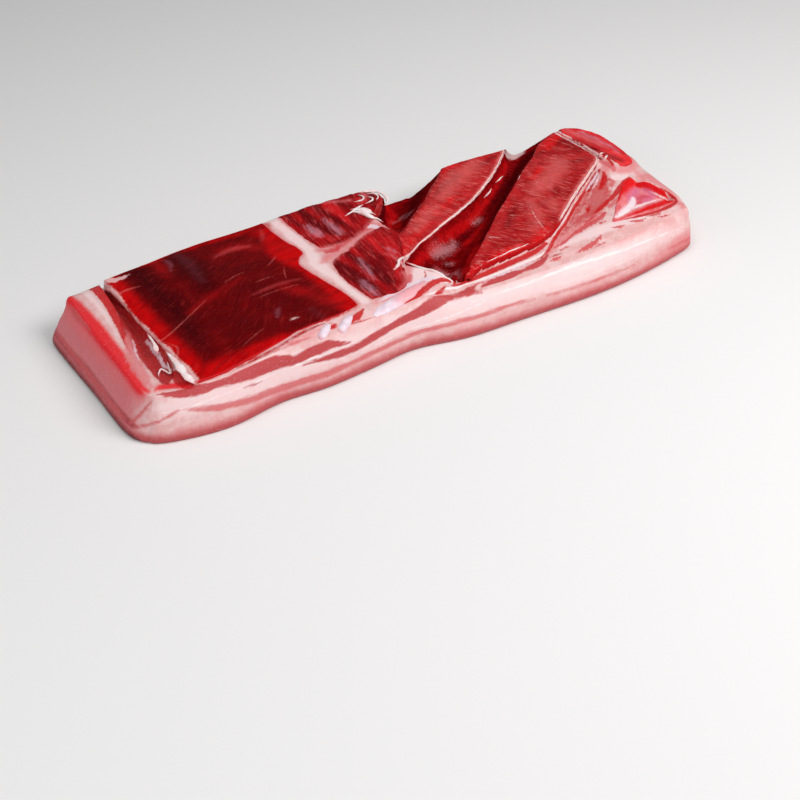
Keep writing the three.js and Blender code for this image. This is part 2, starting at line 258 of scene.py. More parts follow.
@dataclass(frozen=True)
class Fold:
    """A valley of the rib side.

    Its stations say, at a distance along the fold, how far across lie its near lip, its floor
    and its far crest, and how deep the floor is.
    """

    stations: Line
    origin: Point = (10, -40)
    degrees: float = 38
    crest_on_leaf: bool = False
    wall_power: float = 3.4
    slope_power: float = 1.25

    def heading(self) -> tuple[float, float]:
        """Returns the cosine and the sine of the fold's direction."""
        return math.cos(math.radians(self.degrees)), math.sin(math.radians(self.degrees))

    def place(self, x: Array, y: Array) -> tuple[Array, Array]:
        """Finds places of the plan on the fold.

        Args:
            x: Places along the slab.
            y: Places across it.

        Returns:
            How far along the fold and how far across it each lies.
        """
        cos, sin = self.heading()
        dx, dy = x - self.origin[0], y - self.origin[1]
        return dx * cos + dy * sin, dx * sin - dy * cos

    def plan(self, along: Array, across: Array) -> tuple[Array, Array]:
        """Finds places of the fold in the plan.

        Args:
            along: How far along the fold they lie.
            across: How far across it.

        Returns:
            The x and the y of each.
        """
        cos, sin = self.heading()
        x = self.origin[0] + along * cos + across * sin
        return x, self.origin[1] + along * sin - across * cos


@dataclass(frozen=True)
class SlabForm:
    """The heights of the rib side, as the construction model has them."""

    mean_thickness: float = 32.6
    crown: Point = (-35, 100, 3.5)
    dome: Point = (-112, 8, 62, 1.6)
    thin_end: Point = (-120, -215, 2.6)
    shelf: Point = (28.2, 2.6, 60, 200)
    shelf_edge: Point = (2, 24)
    front_slope: Point = (-62, 62, -47, -66, 3.6)
    corner: Point = (205, 219, -6, 12, 1.2)
    leaf_level: Point = (33.6, 1.2, 90, 210)
    waves: Line = ((0.6, 131, 420, 0.4), (0.5, 260, 83, 1.9), (0.35, 71, -109, 3.1))
    leaf_outline: Line = (
        (26, -55), (44, -52.6), (72, -49.5), (96, -48.5), (112, -44), (128, -35.5),
        (155, -16.5), (186, 3.5), (206, 16.5), (213.5, 24), (214.5, 50), (214, 76.3),
        (180, 76.6), (150, 60), (70, -10), (24, -46),
    )
    hollow: Line = ((164, -55), (222.5, -54), (224, -30), (217.5, -12))
    hollow_depth: float = 4
    hollow_slope: float = 4.5
    hollow_reach: float = 2.2
    back_valley: Fold = Fold((
        (43, -39, -37, -34, 1.5), (55, -57, -46, -34, 9), (66, -68, -52, -34, 14.5),
        (80, -62, -53, -34, 16), (89, -66, -54, -34, 16.5), (97, -95, -55, -34, 17),
        (125, -104, -54, -34, 17), (165, -104, -52, -35, 15),
    ))
    front_valley: Fold = Fold((
        (3, -22, 7, 27, 10), (22, -19.4, 8, 24.8, 14), (50, -13.8, 6, 24.4, 13.5),
        (80, -6.6, 8, 24, 12.5), (110, 0.5, 11, 24, 11.5), (150, 3.6, 13, 24, 10.5),
        (190, 2.6, 13, 27, 9), (250, 1, 13, 35, 8),
    ), crest_on_leaf=True)
    end_crease: Fold = Fold((
        (0, -3.5, -1.5, 0.5, 9), (18, -2.5, 0.5, 2.5, 9.5), (41, -2.5, 1, 5.5, 9),
        (65, -3, 3, 10.5, 8.5), (86, -2.5, 8, 17, 7.5), (112, -3, 10, 21, 6),
        (136, -3, 9, 22, 3.5), (146, -2, 8, 18, 0.8),
    ), origin=(-183, 84), degrees=-90)
    corner_slit: Fold = Fold((
        (0, -1.5, 0, 1.5, 1.5), (10, -2.2, 0, 2, 6), (34, -2.4, 0, 2, 6),
        (46, -1.5, 0, 1.5, 1),
    ), origin=(217, 66), degrees=-91, crest_on_leaf=True)

    def unevenness(self, x: Array, y: Array) -> Array:
        """Returns the slow waves of the rib side."""
        return sum(
            height * np.sin(2 * math.pi * (x / length_x + y / length_y) + phase)
            for height, length_x, length_y, phase in self.waves
        )

    def base(self, x: Array, y: Array) -> Array:
        """The rib side with no valley cut into it.

        Args:
            x: Places along the slab.
            y: Places across it.

        Returns:
            Heights.
        """
        _, across = self.front_valley.place(x, y)
        crown_x, crown_reach, crown_rise = self.crown
        dome_x, dome_y, dome_reach, dome_rise = self.dome
        thin_from, thin_to, thin_drop = self.thin_end
        slope_x, slope_reach, slope_from, slope_to, slope_drop = self.front_slope
        shelf_level, shelf_rise, shelf_from, shelf_to = self.shelf
        corner_from, corner_to, corner_front, corner_back, corner_rise = self.corner
        body = (
            self.mean_thickness
            + crown_rise * bell(x - crown_x, crown_reach)
            + dome_rise * bell(x - dome_x, dome_reach) * bell(y - dome_y, dome_reach)
            - thin_drop * smooth(-thin_from, -thin_to, -x)
            - slope_drop * bell(x - slope_x, slope_reach) * smooth(-slope_from, -slope_to, -y)
        )
        shelf = shelf_level + shelf_rise * smooth(shelf_from, shelf_to, x)
        behind_corner = smooth(corner_from, corner_to, x) * smooth(corner_front, corner_back, y)
        shelf_share = smooth(*self.shelf_edge, across) * (1 - behind_corner)
        return mix(body + corner_rise * behind_corner, shelf, shelf_share) + self.unevenness(x, y)

    def leaf(self, x: Array, y: Array) -> Array:
        """Returns the heights of the far muscle leaf."""
        level, rise, rise_from, rise_to = self.leaf_level
        return level + rise * smooth(rise_from, rise_to, x) + self.unevenness(x, y)

    def cut(self, fold: Fold, x: Array, y: Array) -> Array:
        """The bottom of a valley.

        Args:
            fold: The valley.
            x: Places along the slab.
            y: Places across it.

        Returns:
            Heights, infinite where the valley isn't.
        """
        columns = curve_through(fold.stations, 30 * len(fold.stations)).T
        along, across = fold.place(x, y)
        lip, floor, crest, depth = (np.interp(along, columns[0], c) for c in columns[1:])
        crest_form = self.leaf if fold.crest_on_leaf else self.base
        lip_height = self.base(*fold.plan(along, lip))
        crest_height = crest_form(*fold.plan(along, crest))
        floor_height = np.minimum(lip_height, crest_height) - depth
        overrun = 1.15
        up_wall = np.clip((floor - across) / (floor - lip), 0, overrun)
        up_slope = np.clip((across - floor) / (crest - floor), 0, overrun)
        wall = mix(lip_height, floor_height, 1 - up_wall**fold.wall_power)
        slope = mix(floor_height, crest_height, up_slope**fold.slope_power)
        outside = (up_wall >= overrun) | (up_slope >= overrun)
        outside |= (along < columns[0][0]) | (along > columns[0][-1])
        return np.where(outside, np.inf, np.where(across < floor, wall, slope))

    def dent(self, x: Array, y: Array) -> Array:
        """The three-cornered hollow.

        Args:
            x: Places along the slab.
            y: Places across it.

        Returns:
            Heights, infinite outside it.
        """
        depth = loop_depth(x, y, self.hollow, 60)
        sunk = self.hollow_depth * np.clip(depth / self.hollow_slope, -0.5, 1)
        return np.where(depth > -self.hollow_reach, self.base(x, y) - sunk, np.inf)

    def surface(self, x: Array, y: Array) -> Array:
        """The finished rib side.

        Args:
            x: Places along the slab.
            y: Places across it.

        Returns:
            Heights.
        """
        height = self.base(x, y)
        on_leaf = loop_depth(x, y, self.leaf_outline) > 0
        height = np.where(on_leaf, np.maximum(height, self.leaf(x, y)), height)
        for fold in (self.back_valley, self.front_valley, self.end_crease, self.corner_slit):
            height = np.minimum(height, self.cut(fold, x, y))
        return np.minimum(height, self.dent(x, y))


FORM = SlabForm()


@dataclass(frozen=True)
class Quilt:
    """A patch of the plan between four smooth edges that meet at its corners."""

    front: Line
    right: Line
    back: Line
    left: Line

    def places(self, across: Array, deep: Array) -> tuple[Array, Array]:
        """Places of the patch on a grid.

        Args:
            across: Shares of the way from the left edge to the right one.
            deep: Shares of the way from the front edge to the back one.

        Returns:
            The x and the y of each, the first index running across.
        """
        front, back = along_curve(self.front, across), along_curve(self.back, across)
        left, right = along_curve(self.left, deep), along_curve(self.right, deep)
        u, v = across[:, None, None], deep[None, :, None]
        between = mix(front[:, None], back[:, None], v) + mix(left[None], right[None], u)
        corners = mix(mix(front[0], front[-1], u), mix(back[0], back[-1], u), v)
        plan = between - corners
        return plan[..., 0], plan[..., 1]

    def outline(self) -> Line:
        """Returns the edge points of the patch, all the way round."""
        loop = (*self.front, *self.right[1:], *self.back[::-1][1:], *self.left[::-1][1:-1])
        return tuple((point[0], point[1]) for point in loop)


# ---- finishes


def shade_of(red: int, green: int, blue: int) -> tuple[float, float, float, float]:
    """Returns a colour for a shader from its usual 0 to 255 numbers."""
    parts = (value / 255 for value in (red, green, blue))
    return (*(p / 12.92 if p <= 0.04045 else ((p + 0.055) / 1.055) ** 2.4 for p in parts), 1)


@dataclass(frozen=True)
class Softness:
    """How light enters a flesh surface, and how wet it is."""

    weight: float = 0.1
    reach: Point = (1, 0.35, 0.25)
    scale: float = 0.003
    shine: float = 0.05
    wet: float = 0.02
    wet_roughness: float = 0.18
    wet_ior: float = 1.36


class Nodes:
    """Writes the node tree of one finish."""

    def __init__(self, name: str) -> None:
        """Starts an empty material.

        Args:
            name: Its name.
        """
        self.material = bpy.data.materials.new(name)
        self.material.use_nodes = True
        self.tree = self.material.node_tree
        self.tree.nodes.clear()

    def node(self, kind: str, inputs: dict[str | int, object], **settings: object) -> bpy.types.Node:
        """Adds a node.

        Args:
            kind: Its type, without the beginning that all have.
            inputs: A number, a colour or another node's output for each socket, or None.
            **settings: Its own settings.

        Returns:
            The node.
        """
        made = self.tree.nodes.new(f"ShaderNode{kind}")
        for key, value in settings.items():
            setattr(made, key, value)
        for key, value in inputs.items():
            if isinstance(value, Socket):
                self.tree.links.new(value, made.inputs[key])
            elif value is not None:
                made.inputs[key].default_value = value
        return made

    def read(self, name: str, output: str = "Fac") -> Socket:
        """Returns the output that reads a number, or with "Vector" a vector, from the mesh."""
        return self.node("Attribute", {}, attribute_name=name).outputs[output]

    def stretched(self, source: Socket, by: Point) -> Socket:
        """Returns coordinates multiplied axis by axis."""
        return self.node("VectorMath", {0: source, 1: by}, operation="MULTIPLY").outputs[0]

    def plus(self, first: object, second: object) -> Socket:
        """Returns two numbers added."""
        return self.node("Math", {0: first, 1: second}, operation="ADD").outputs[0]

    def times(self, first: object, second: object) -> Socket:
        """Returns two numbers multiplied."""
        return self.node("Math", {0: first, 1: second}, operation="MULTIPLY").outputs[0]

    def blend(self, share: object, low: object, high: object) -> Socket:
        """Returns the colour that is this share of the way from low to high."""
        inputs = {"Factor": share, "A": low, "B": high}
        return self.node("Mix", inputs, data_type="RGBA").outputs["Result"]

    def noise(
        self, source: Socket, scale: float, detail: float = 3,
        roughness: float = 0.55, warp: float = 0,
    ) -> Socket:
        """Soft noise.

        Args:
            source: Coordinates.
            scale: Lumps for each unit of them.
            detail: How many finer layers.
            roughness: How strong these are.
            warp: How far it is twisted.

        Returns:
            The output, from 0 to 1.
        """
        inputs = {
            "Vector": source, "Scale": scale, "Detail": detail, "Roughness": roughness, "Distortion": warp,
        }
        return self.node("TexNoise", inputs).outputs["Fac"]

    def step(self, value: object, low: float, high: float, least: float = 0, most: float = 1) -> Socket:
        """A soft step.

        Args:
            value: What is stepped.
            low: Where it starts.
            high: Where it ends.
            least: What it gives below that.
            most: What it gives above it.

        Returns:
            The output.
        """
        inputs = {"Value": value, "From Min": low, "From Max": high, "To Min": least, "To Max": most}
        return self.node("MapRange", inputs, interpolation_type="SMOOTHSTEP").outputs["Result"]

    def relief(self, height: Socket, depth: float, below: object = None) -> Socket:
        """Fine relief.

        Args:
            height: Its heights, from 0 to 1.
            depth: How many millimetres that is.
            below: The relief that it lies on.

        Returns:
            The normals' output.
        """
        inputs = {"Distance": depth * MILLIMETRE, "Height": height, "Normal": below}
        return self.node("Bump", inputs).outputs["Normal"]

    def finish(self, colour: object, roughness: object, normal: object, soft: Softness) -> None:
        """Joins the tree to its surface.

        Args:
            colour: The colour's output.
            roughness: The roughness's output.
            normal: The normals' output.
            soft: How light enters the surface and how wet it is.
        """
        surface = self.node("BsdfPrincipled", {
            "Base Color": colour, "Roughness": roughness, "Normal": normal,
            "Subsurface Weight": soft.weight, "Subsurface Radius": soft.reach,
            "Subsurface Scale": soft.scale, "Specular IOR Level": soft.shine,
            "Coat Weight": soft.wet, "Coat Roughness": soft.wet_roughness, "Coat IOR": soft.wet_ior,
        })
        self.node("OutputMaterial", {"Surface": surface.outputs["BSDF"]})


@dataclass(frozen=True)
class Tint:
    """A colour that fills where a number painted on the mesh, in millimetres, is above 0."""

    number: str
    colour: Colour
    edge: float = 0.5
    ragged: float = 0.7
    lump: float = 3
    strength: float = 1
    drawn_out: float = 1
    under_fibres: bool = False
    shift: float = 0


@dataclass(frozen=True)
class Flesh:
    """A finish of raw meat or fat."""

    name: str
    ground: Colour
    other_ground: Colour
    tints: tuple[Tint, ...] = ()
    mottle: float = 14
    fibre: Colour = (226, 110, 104)
    fibre_share: float = 0
    fibre_size: Point = (9, 0.7)
    fibre_level: Point = (0.52, 0.64)
    streak: Colour = (120, 6, 12)
    streak_share: float = 0
    streak_level: Point = (0.48, 0.6)
    # Pale flecks: fat flecks in the lean, and painted wet glints on the fat.
    fleck_and_glint: Colour = (244, 200, 196)
    fleck_and_glint_share: float = 0
    roughness: Point = (0.34, 0.5)
    relief: float = 0.25
    fibre_relief: float = 0.2
    soft: Softness = Softness()

    def tinted(self, nodes: Nodes, colour: object, fibres: object, under: bool) -> object:
        """Lays the tints over a colour.

        Args:
            nodes: The node tree.
            colour: The colour so far.
            fibres: Coordinates along the fibres.
            under: Whether to lay those that lie under the fibres.

        Returns:
            The new colour.
        """
        for tint in self.tints:
            if tint.under_fibres != under:
                continue
            stretch = (1 / (tint.lump * tint.drawn_out), 1 / tint.lump, 1 / tint.lump)
            wander = nodes.noise(nodes.stretched(fibres, stretch), 1, 8, 0.72)
            offset = nodes.plus(nodes.times(nodes.plus(wander, -0.5), 9 * tint.ragged), tint.shift)
            depth = nodes.plus(nodes.read(tint.number), offset)
            share = nodes.step(depth, -tint.edge, tint.edge, 0, tint.strength)
            colour = nodes.blend(share, colour, shade_of(*tint.colour))
        return colour

    def material(self) -> bpy.types.Material:
        """Writes the nodes of this finish.

        Returns:
            The material.
        """
        nodes = Nodes(self.name)
        place, fibres = nodes.read("place", "Vector"), nodes.read("fibre", "Vector")
        length, width = self.fibre_size
        mottling = nodes.step(nodes.noise(place, 1 / self.mottle, 5, 0.62, 0.5), 0.36, 0.62)
        colour = nodes.blend(mottling, shade_of(*self.ground), shade_of(*self.other_ground))
        thread = nodes.stretched(fibres, (1 / length, 1 / width, 1 / width))
        thread = nodes.noise(thread, 1, 4, 0.6)
        bundle = nodes.stretched(fibres, (0.5 / length, 0.2 / width, 0.2 / width))
        bundle = nodes.noise(bundle, 1, 4, 0.62)
        colour = self.tinted(nodes, colour, fibres, True)
        if self.streak_share:
            dark = nodes.times(nodes.step(bundle, *self.streak_level), self.streak_share)
            colour = nodes.blend(dark, colour, shade_of(*self.streak))
        if self.fibre_share:
            patchy = nodes.step(nodes.noise(place, 0.12, 3), 0.36, 0.62, 0.2, 1)
            light = nodes.times(nodes.step(thread, *self.fibre_level), self.fibre_share)
            colour = nodes.blend(nodes.times(light, patchy), colour, shade_of(*self.fibre))
        colour = self.tinted(nodes, colour, fibres, False)
        fine = nodes.noise(place, 0.9, 4, 0.65)
        # Small pale flecks: fat flecks in the lean; on the fat, near-white dots that are painted wet glints.
        if self.fleck_and_glint_share:
            flecks_and_glints = nodes.times(nodes.step(fine, 0.6, 0.68), self.fleck_and_glint_share)
            colour = nodes.blend(flecks_and_glints, colour, shade_of(*self.fleck_and_glint))
        lumps = nodes.noise(place, 0.35, 3, 0.5)
        normal = nodes.relief(lumps, self.relief * 2)
        normal = nodes.relief(fine, self.relief * 0.7, normal)
        if self.fibre_relief:
            normal = nodes.relief(thread, self.fibre_relief, normal)
        nodes.finish(colour, nodes.step(lumps, 0.35, 0.65, *self.roughness), normal, self.soft)
        return nodes.material


# ---- meshes

MAP_WIDTH = (0.004, 0.996)     # what a piece's map spans across
TOP_MAP = (0.1, 0.996)         # where a laid part's upper side lies on its map, from low to high
HIDDEN_MAP = (0.01, 0.06)      # where its hidden side lies
EDGE_MAP = (0.09, 0.07)        # where the band between them lies


class Slot(Enum):
    """Names of material slots."""

    MEAT = "belly_meat"
    CARTILAGE = "cartilage"


def placed(name: str, data: bpy.types.ID) -> Object:
    """Puts a new object in the scene.

    Args:
        name: Its name.
        data: Its mesh, camera or light.

    Returns:
        The object.
    """
    made = bpy.data.objects.new(name, data)
    bpy.context.scene.collection.objects.link(made)
    return made


@dataclass
class Body:
    """A closed mesh in slab millimetres, with the numbers that its finish reads."""

    places: Array
    faces: list[Array]
    numbers: Numbers
    corners_map: list[Array] | None = None

    def piece(self, name: str, finish: Flesh, slot: Slot = Slot.MEAT) -> Object:
        """Makes the object of this mesh, which rides on the row's one body.

        Args:
            name: Its name.
            finish: Its finish.
            slot: A material slot for it, which is not used.

        Returns:
            The object, in metres in the row frame.
        """
        mesh = bpy.data.meshes.new(name)
        mesh.vertices.add(len(self.places))
        mesh.vertices.foreach_set("co", ((self.places - ORIGIN) * MILLIMETRE).ravel())
        sizes = np.concatenate([np.full(len(f), f.shape[1]) for f in self.faces])
        corners = np.concatenate([f.ravel() for f in self.faces])
        mesh.loops.add(len(corners))
        mesh.loops.foreach_set("vertex_index", corners.astype(np.int32))
        mesh.polygons.add(len(sizes))
        starts = np.concatenate([[0], np.cumsum(sizes)[:-1]])
        mesh.polygons.foreach_set("loop_start", starts.astype(np.int32))
        mesh.polygons.foreach_set("use_smooth", np.ones(len(sizes), bool))
        mesh.update(calc_edges=True)
        mesh.validate()
        for key, values in self.numbers.items():
            kind, field = ("FLOAT_VECTOR", "vector") if values.ndim > 1 else ("FLOAT", "value")
            if values.ndim == 1:
                values = np.clip(values, -EDGE_OF_PAINT, EDGE_OF_PAINT)
            layer = mesh.attributes.new(key, kind, "POINT")
            layer.data.foreach_set(field, values.astype(np.float32).ravel())
        if self.corners_map is not None:
            layer = mesh.uv_layers.new(name="OFBake")
            spots = np.concatenate([c.reshape(-1, 2) for c in self.corners_map])
            layer.data.foreach_set("uv", spots.astype(np.float32).ravel())
        mesh.materials.append(finish.material())
        made = placed(name, mesh)
        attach(made, "root")
        return made


def grid_faces(rows: int, columns: int, first: int = 0) -> Array:
    """The four-cornered faces of a grid.

    Args:
        rows: How many rows of vertices it has.
        columns: How many vertices are in each.
        first: The number of its first vertex.

    Returns:
        The four vertices of each face.
    """
    i, j = np.meshgrid(np.arange(rows - 1), np.arange(columns - 1), indexing="ij")
    a = (first + i * columns + j).ravel()
    return np.stack([a, a + columns, a + columns + 1, a + 1], 1)


def grid_map(rows: int, columns: int, low: float, high: float) -> Array:
    """Where a grid's faces lie on a map.

    Args:
        rows: How many rows of vertices it has.
        columns: How many vertices are in each.
        low: The map's height at the first column.
        high: Its height at the last column.

    Returns:
        A spot of the map for each corner of each face.
    """
    i, j = np.meshgrid(np.arange(rows - 1), np.arange(columns - 1), indexing="ij")
    across = (i.ravel()[:, None] + np.array([0, 1, 1, 0])) / (rows - 1)
    deep = (j.ravel()[:, None] + np.array([0, 0, 1, 1])) / (columns - 1)
    return np.stack([mix(*MAP_WIDTH, across), mix(low, high, deep)], -1)


def rim_of(rows: int, columns: int) -> tuple[Array, Array]:
    """The places round a grid's edge.

    Args:
        rows: How many rows of vertices it has.
        columns: How many vertices are in each.

    Returns:
        The row and the column of each.
    """
    down, along = np.arange(rows - 1), np.arange(columns - 1)
    i = np.concatenate([down, 0 * along + rows - 1, rows - 1 - down, 0 * along])
    j = np.concatenate([0 * down, along, 0 * down + columns - 1, columns - 1 - along])
    return i, j


def band(upper: Array, lower: Array) -> Array:
    """Returns the four-cornered faces between two closed lines of vertices."""
    return np.stack([np.roll(upper, -1), upper, lower, np.roll(lower, -1)], 1)


def band_map(count: int, high: float, low: float) -> Array:
    """Where a band's faces lie on a map.

    Args:
        count: How many faces it has.
        high: The map's height at its upper line.
        low: Its height at the lower line.

    Returns:
        A spot of the map for each corner of each face.
    """
    ring = np.linspace(*MAP_WIDTH, count + 1)
    spots = np.zeros((count, 4, 2))
    spots[..., 0] = np.stack([ring[1:], ring[:-1], ring[:-1], ring[1:]], 1)
    spots[..., 1] = (high, high, low, low)
    return spots


def tube_faces(rows: int, columns: int) -> list[Array]:
    """The faces of a closed tube.

    Args:
        rows: How many rings of vertices it has.
        columns: How many vertices are in each.

    Returns:
        Those of its wall, its first end and its last end.
    """
    here = np.arange(rows * columns).reshape(rows, columns)
    beside = np.roll(here, -1, 1)
    wall = np.stack([here[:-1], beside[:-1], beside[1:], here[1:]], -1)
    return [wall.reshape(-1, 4), here[:1, ::-1], here[-1:]]


def laid_body(upper: Array, skirt: int, thickness: float, numbers: Numbers) -> Body:
    """A thin solid whose upper side is a grid and whose lower side is hidden.

    Args:
        upper: The upper side's places, on a grid.
        skirt: How many rows at each edge turn down round it.
        thickness: How thick it is, in millimetres.
        numbers: What its finish reads, on the same grid.

    Returns:
        The closed mesh.
    """
    rows, columns = upper.shape[:2]
    inner = (slice(skirt, rows - skirt), slice(skirt, columns - skirt))
    lower = upper[inner] - (0, 0, thickness)
    low_rows, low_columns = lower.shape[:2]
    first = rows * columns
    i, j = rim_of(rows, columns)
    below_i, below_j = np.clip(i - skirt, 0, low_rows - 1), np.clip(j - skirt, 0, low_columns - 1)
    edge = band(i * columns + j, first + below_i * low_columns + below_j)
    corner = edge[:, 2] == edge[:, 3]
    quads, triangles = edge[~corner], edge[corner, :3]
    faces = [
        grid_faces(rows, columns), grid_faces(low_rows, low_columns, first)[:, ::-1], quads, triangles,
    ]
    # The corners' triangles are hidden slivers, so each takes only a dot of the map.
    dots = np.zeros((len(triangles), 3, 2))
    dots[..., 0] = np.linspace(0.01, 0.99, len(triangles))[:, None] + (0.001, 0, 0)
    dots[..., 1] = (0.001, 0.001, 0.006)
    maps = [
        grid_map(rows, columns, *TOP_MAP), grid_map(low_rows, low_columns, *HIDDEN_MAP)[:, ::-1],
        band_map(len(quads), *EDGE_MAP), dots,
    ]

    def both(values: Array) -> Array:
        """Returns the values of the upper side's places, then those of the lower side's."""
        parts = [part.reshape(part.shape[0] * part.shape[1], -1) for part in (values, values[inner])]
        return np.concatenate(parts).squeeze()

    places = np.concatenate([upper.reshape(-1, 3), lower.reshape(-1, 3)])
    return Body(places, faces, {key: both(values) for key, values in numbers.items()}, maps)


Profile = tuple[Point, ...]
Profiles = tuple[Profile, Profile, Profile, Profile]


def skirted(grid: Array, profiles: Profiles) -> Array:
    """Turns the edges of a grid of places down.

    Args:
        grid: The places, the rows running from left to right and each from front to back.
        profiles: For the front, right, back and left sides, how far outward and how far down
            their extra rows lie.

    Returns:
        The larger grid.
    """
    front, right, back, left = profiles
    for near, far in ((left, right), (front, back)):
        for profile, first, second in ((near, 0, 1), (far, -1, -2)):
            step = (grid[first] - grid[second]) * (1, 1, 0)
            run = np.hypot(step[:, 0], step[:, 1])[:, None] + TINY
            extra = [grid[first] + out * step / run - (0, 0, drop) for out, drop in profile]
            grid = np.concatenate([grid, extra] if first else [extra[::-1], grid])
        grid = grid.swapaxes(0, 1)
    return grid


def lengthened(profile: Profile, count: int) -> Profile:
    """Gives an edge's profile more rows, tucked in under it.

    Args:
        profile: The profile.
        count: How many rows it gets.

    Returns:
        The longer profile.
    """
    out, drop = profile[-1]
    more = range(1, count - len(profile) + 1)
    return profile + tuple((out - 0.15 * k, drop + 0.5 * k) for k in more)


def crowned(z: Array, top: float = 37.35) -> Array:
    """Returns heights pressed a little where they come near the slab's highest level."""
    return z - 0.75 * smooth(top - 4.5, top + 0.6, z)


def eased(loop: Array, passes: int) -> Array:
    """Returns the values along a closed line, each averaged with its neighbours so many times."""
    for _ in range(passes):
        loop = (np.roll(loop, 1, 0) + loop + np.roll(loop, -1, 0)) / 3
    return loop


def turned(x: Array, y: Array, z: Array, degrees: Array) -> Array:
    """Coordinates whose first axis runs along fibres.

    Args:
        x: Places along the slab.
        y: Places across it.
        z: Heights.
        degrees: The fibres' direction from the slab's length, in degrees.

    Returns:
        One row of three coordinates for each place.
    """
    turn = np.radians(degrees)
    along = x * np.cos(turn) + y * np.sin(turn)
    across = y * np.cos(turn) - x * np.sin(turn)
    return np.stack(np.broadcast_arrays(along, across, z), -1)


# ---- where things lie

# The cut edges that the muscle leaves share with the valleys beside them.
BACK_CREST: Line = (
    (16, 14), (24, 14.5), (33, 21), (44, 30), (55, 38), (65, 45), (80, 58), (88, 64), (97, 72),
    (103, 78),
)
NEAR_LIP: Line = (
    (-5, -24), (-2, -19), (1, -17), (6, -16), (14, -13), (26, -6), (40, 0), (53, 7), (68, 14),
    (81, 20), (96, 27), (108, 34), (117, 40), (125, 45), (133, 51), (142, 58), (151, 66), (158, 72),
    (163, 77),
)
FAR_CREST: Line = (
    (31, -56), (36, -53), (42, -46), (53, -38), (63, -30), (81, -15), (103, 3), (122, 16), (141, 30),
    (157, 42), (173, 53), (187, 65), (197, 71), (206, 74.5), (212, 76),
)
FAR_LIP: Line = (
    (33, -57), (44, -52.6), (72, -49.5), (96, -48.5), (112, -44), (128, -35.5), (155, -16.5),
    (186, 3.5), (206, 16.5), (213, 24),
)

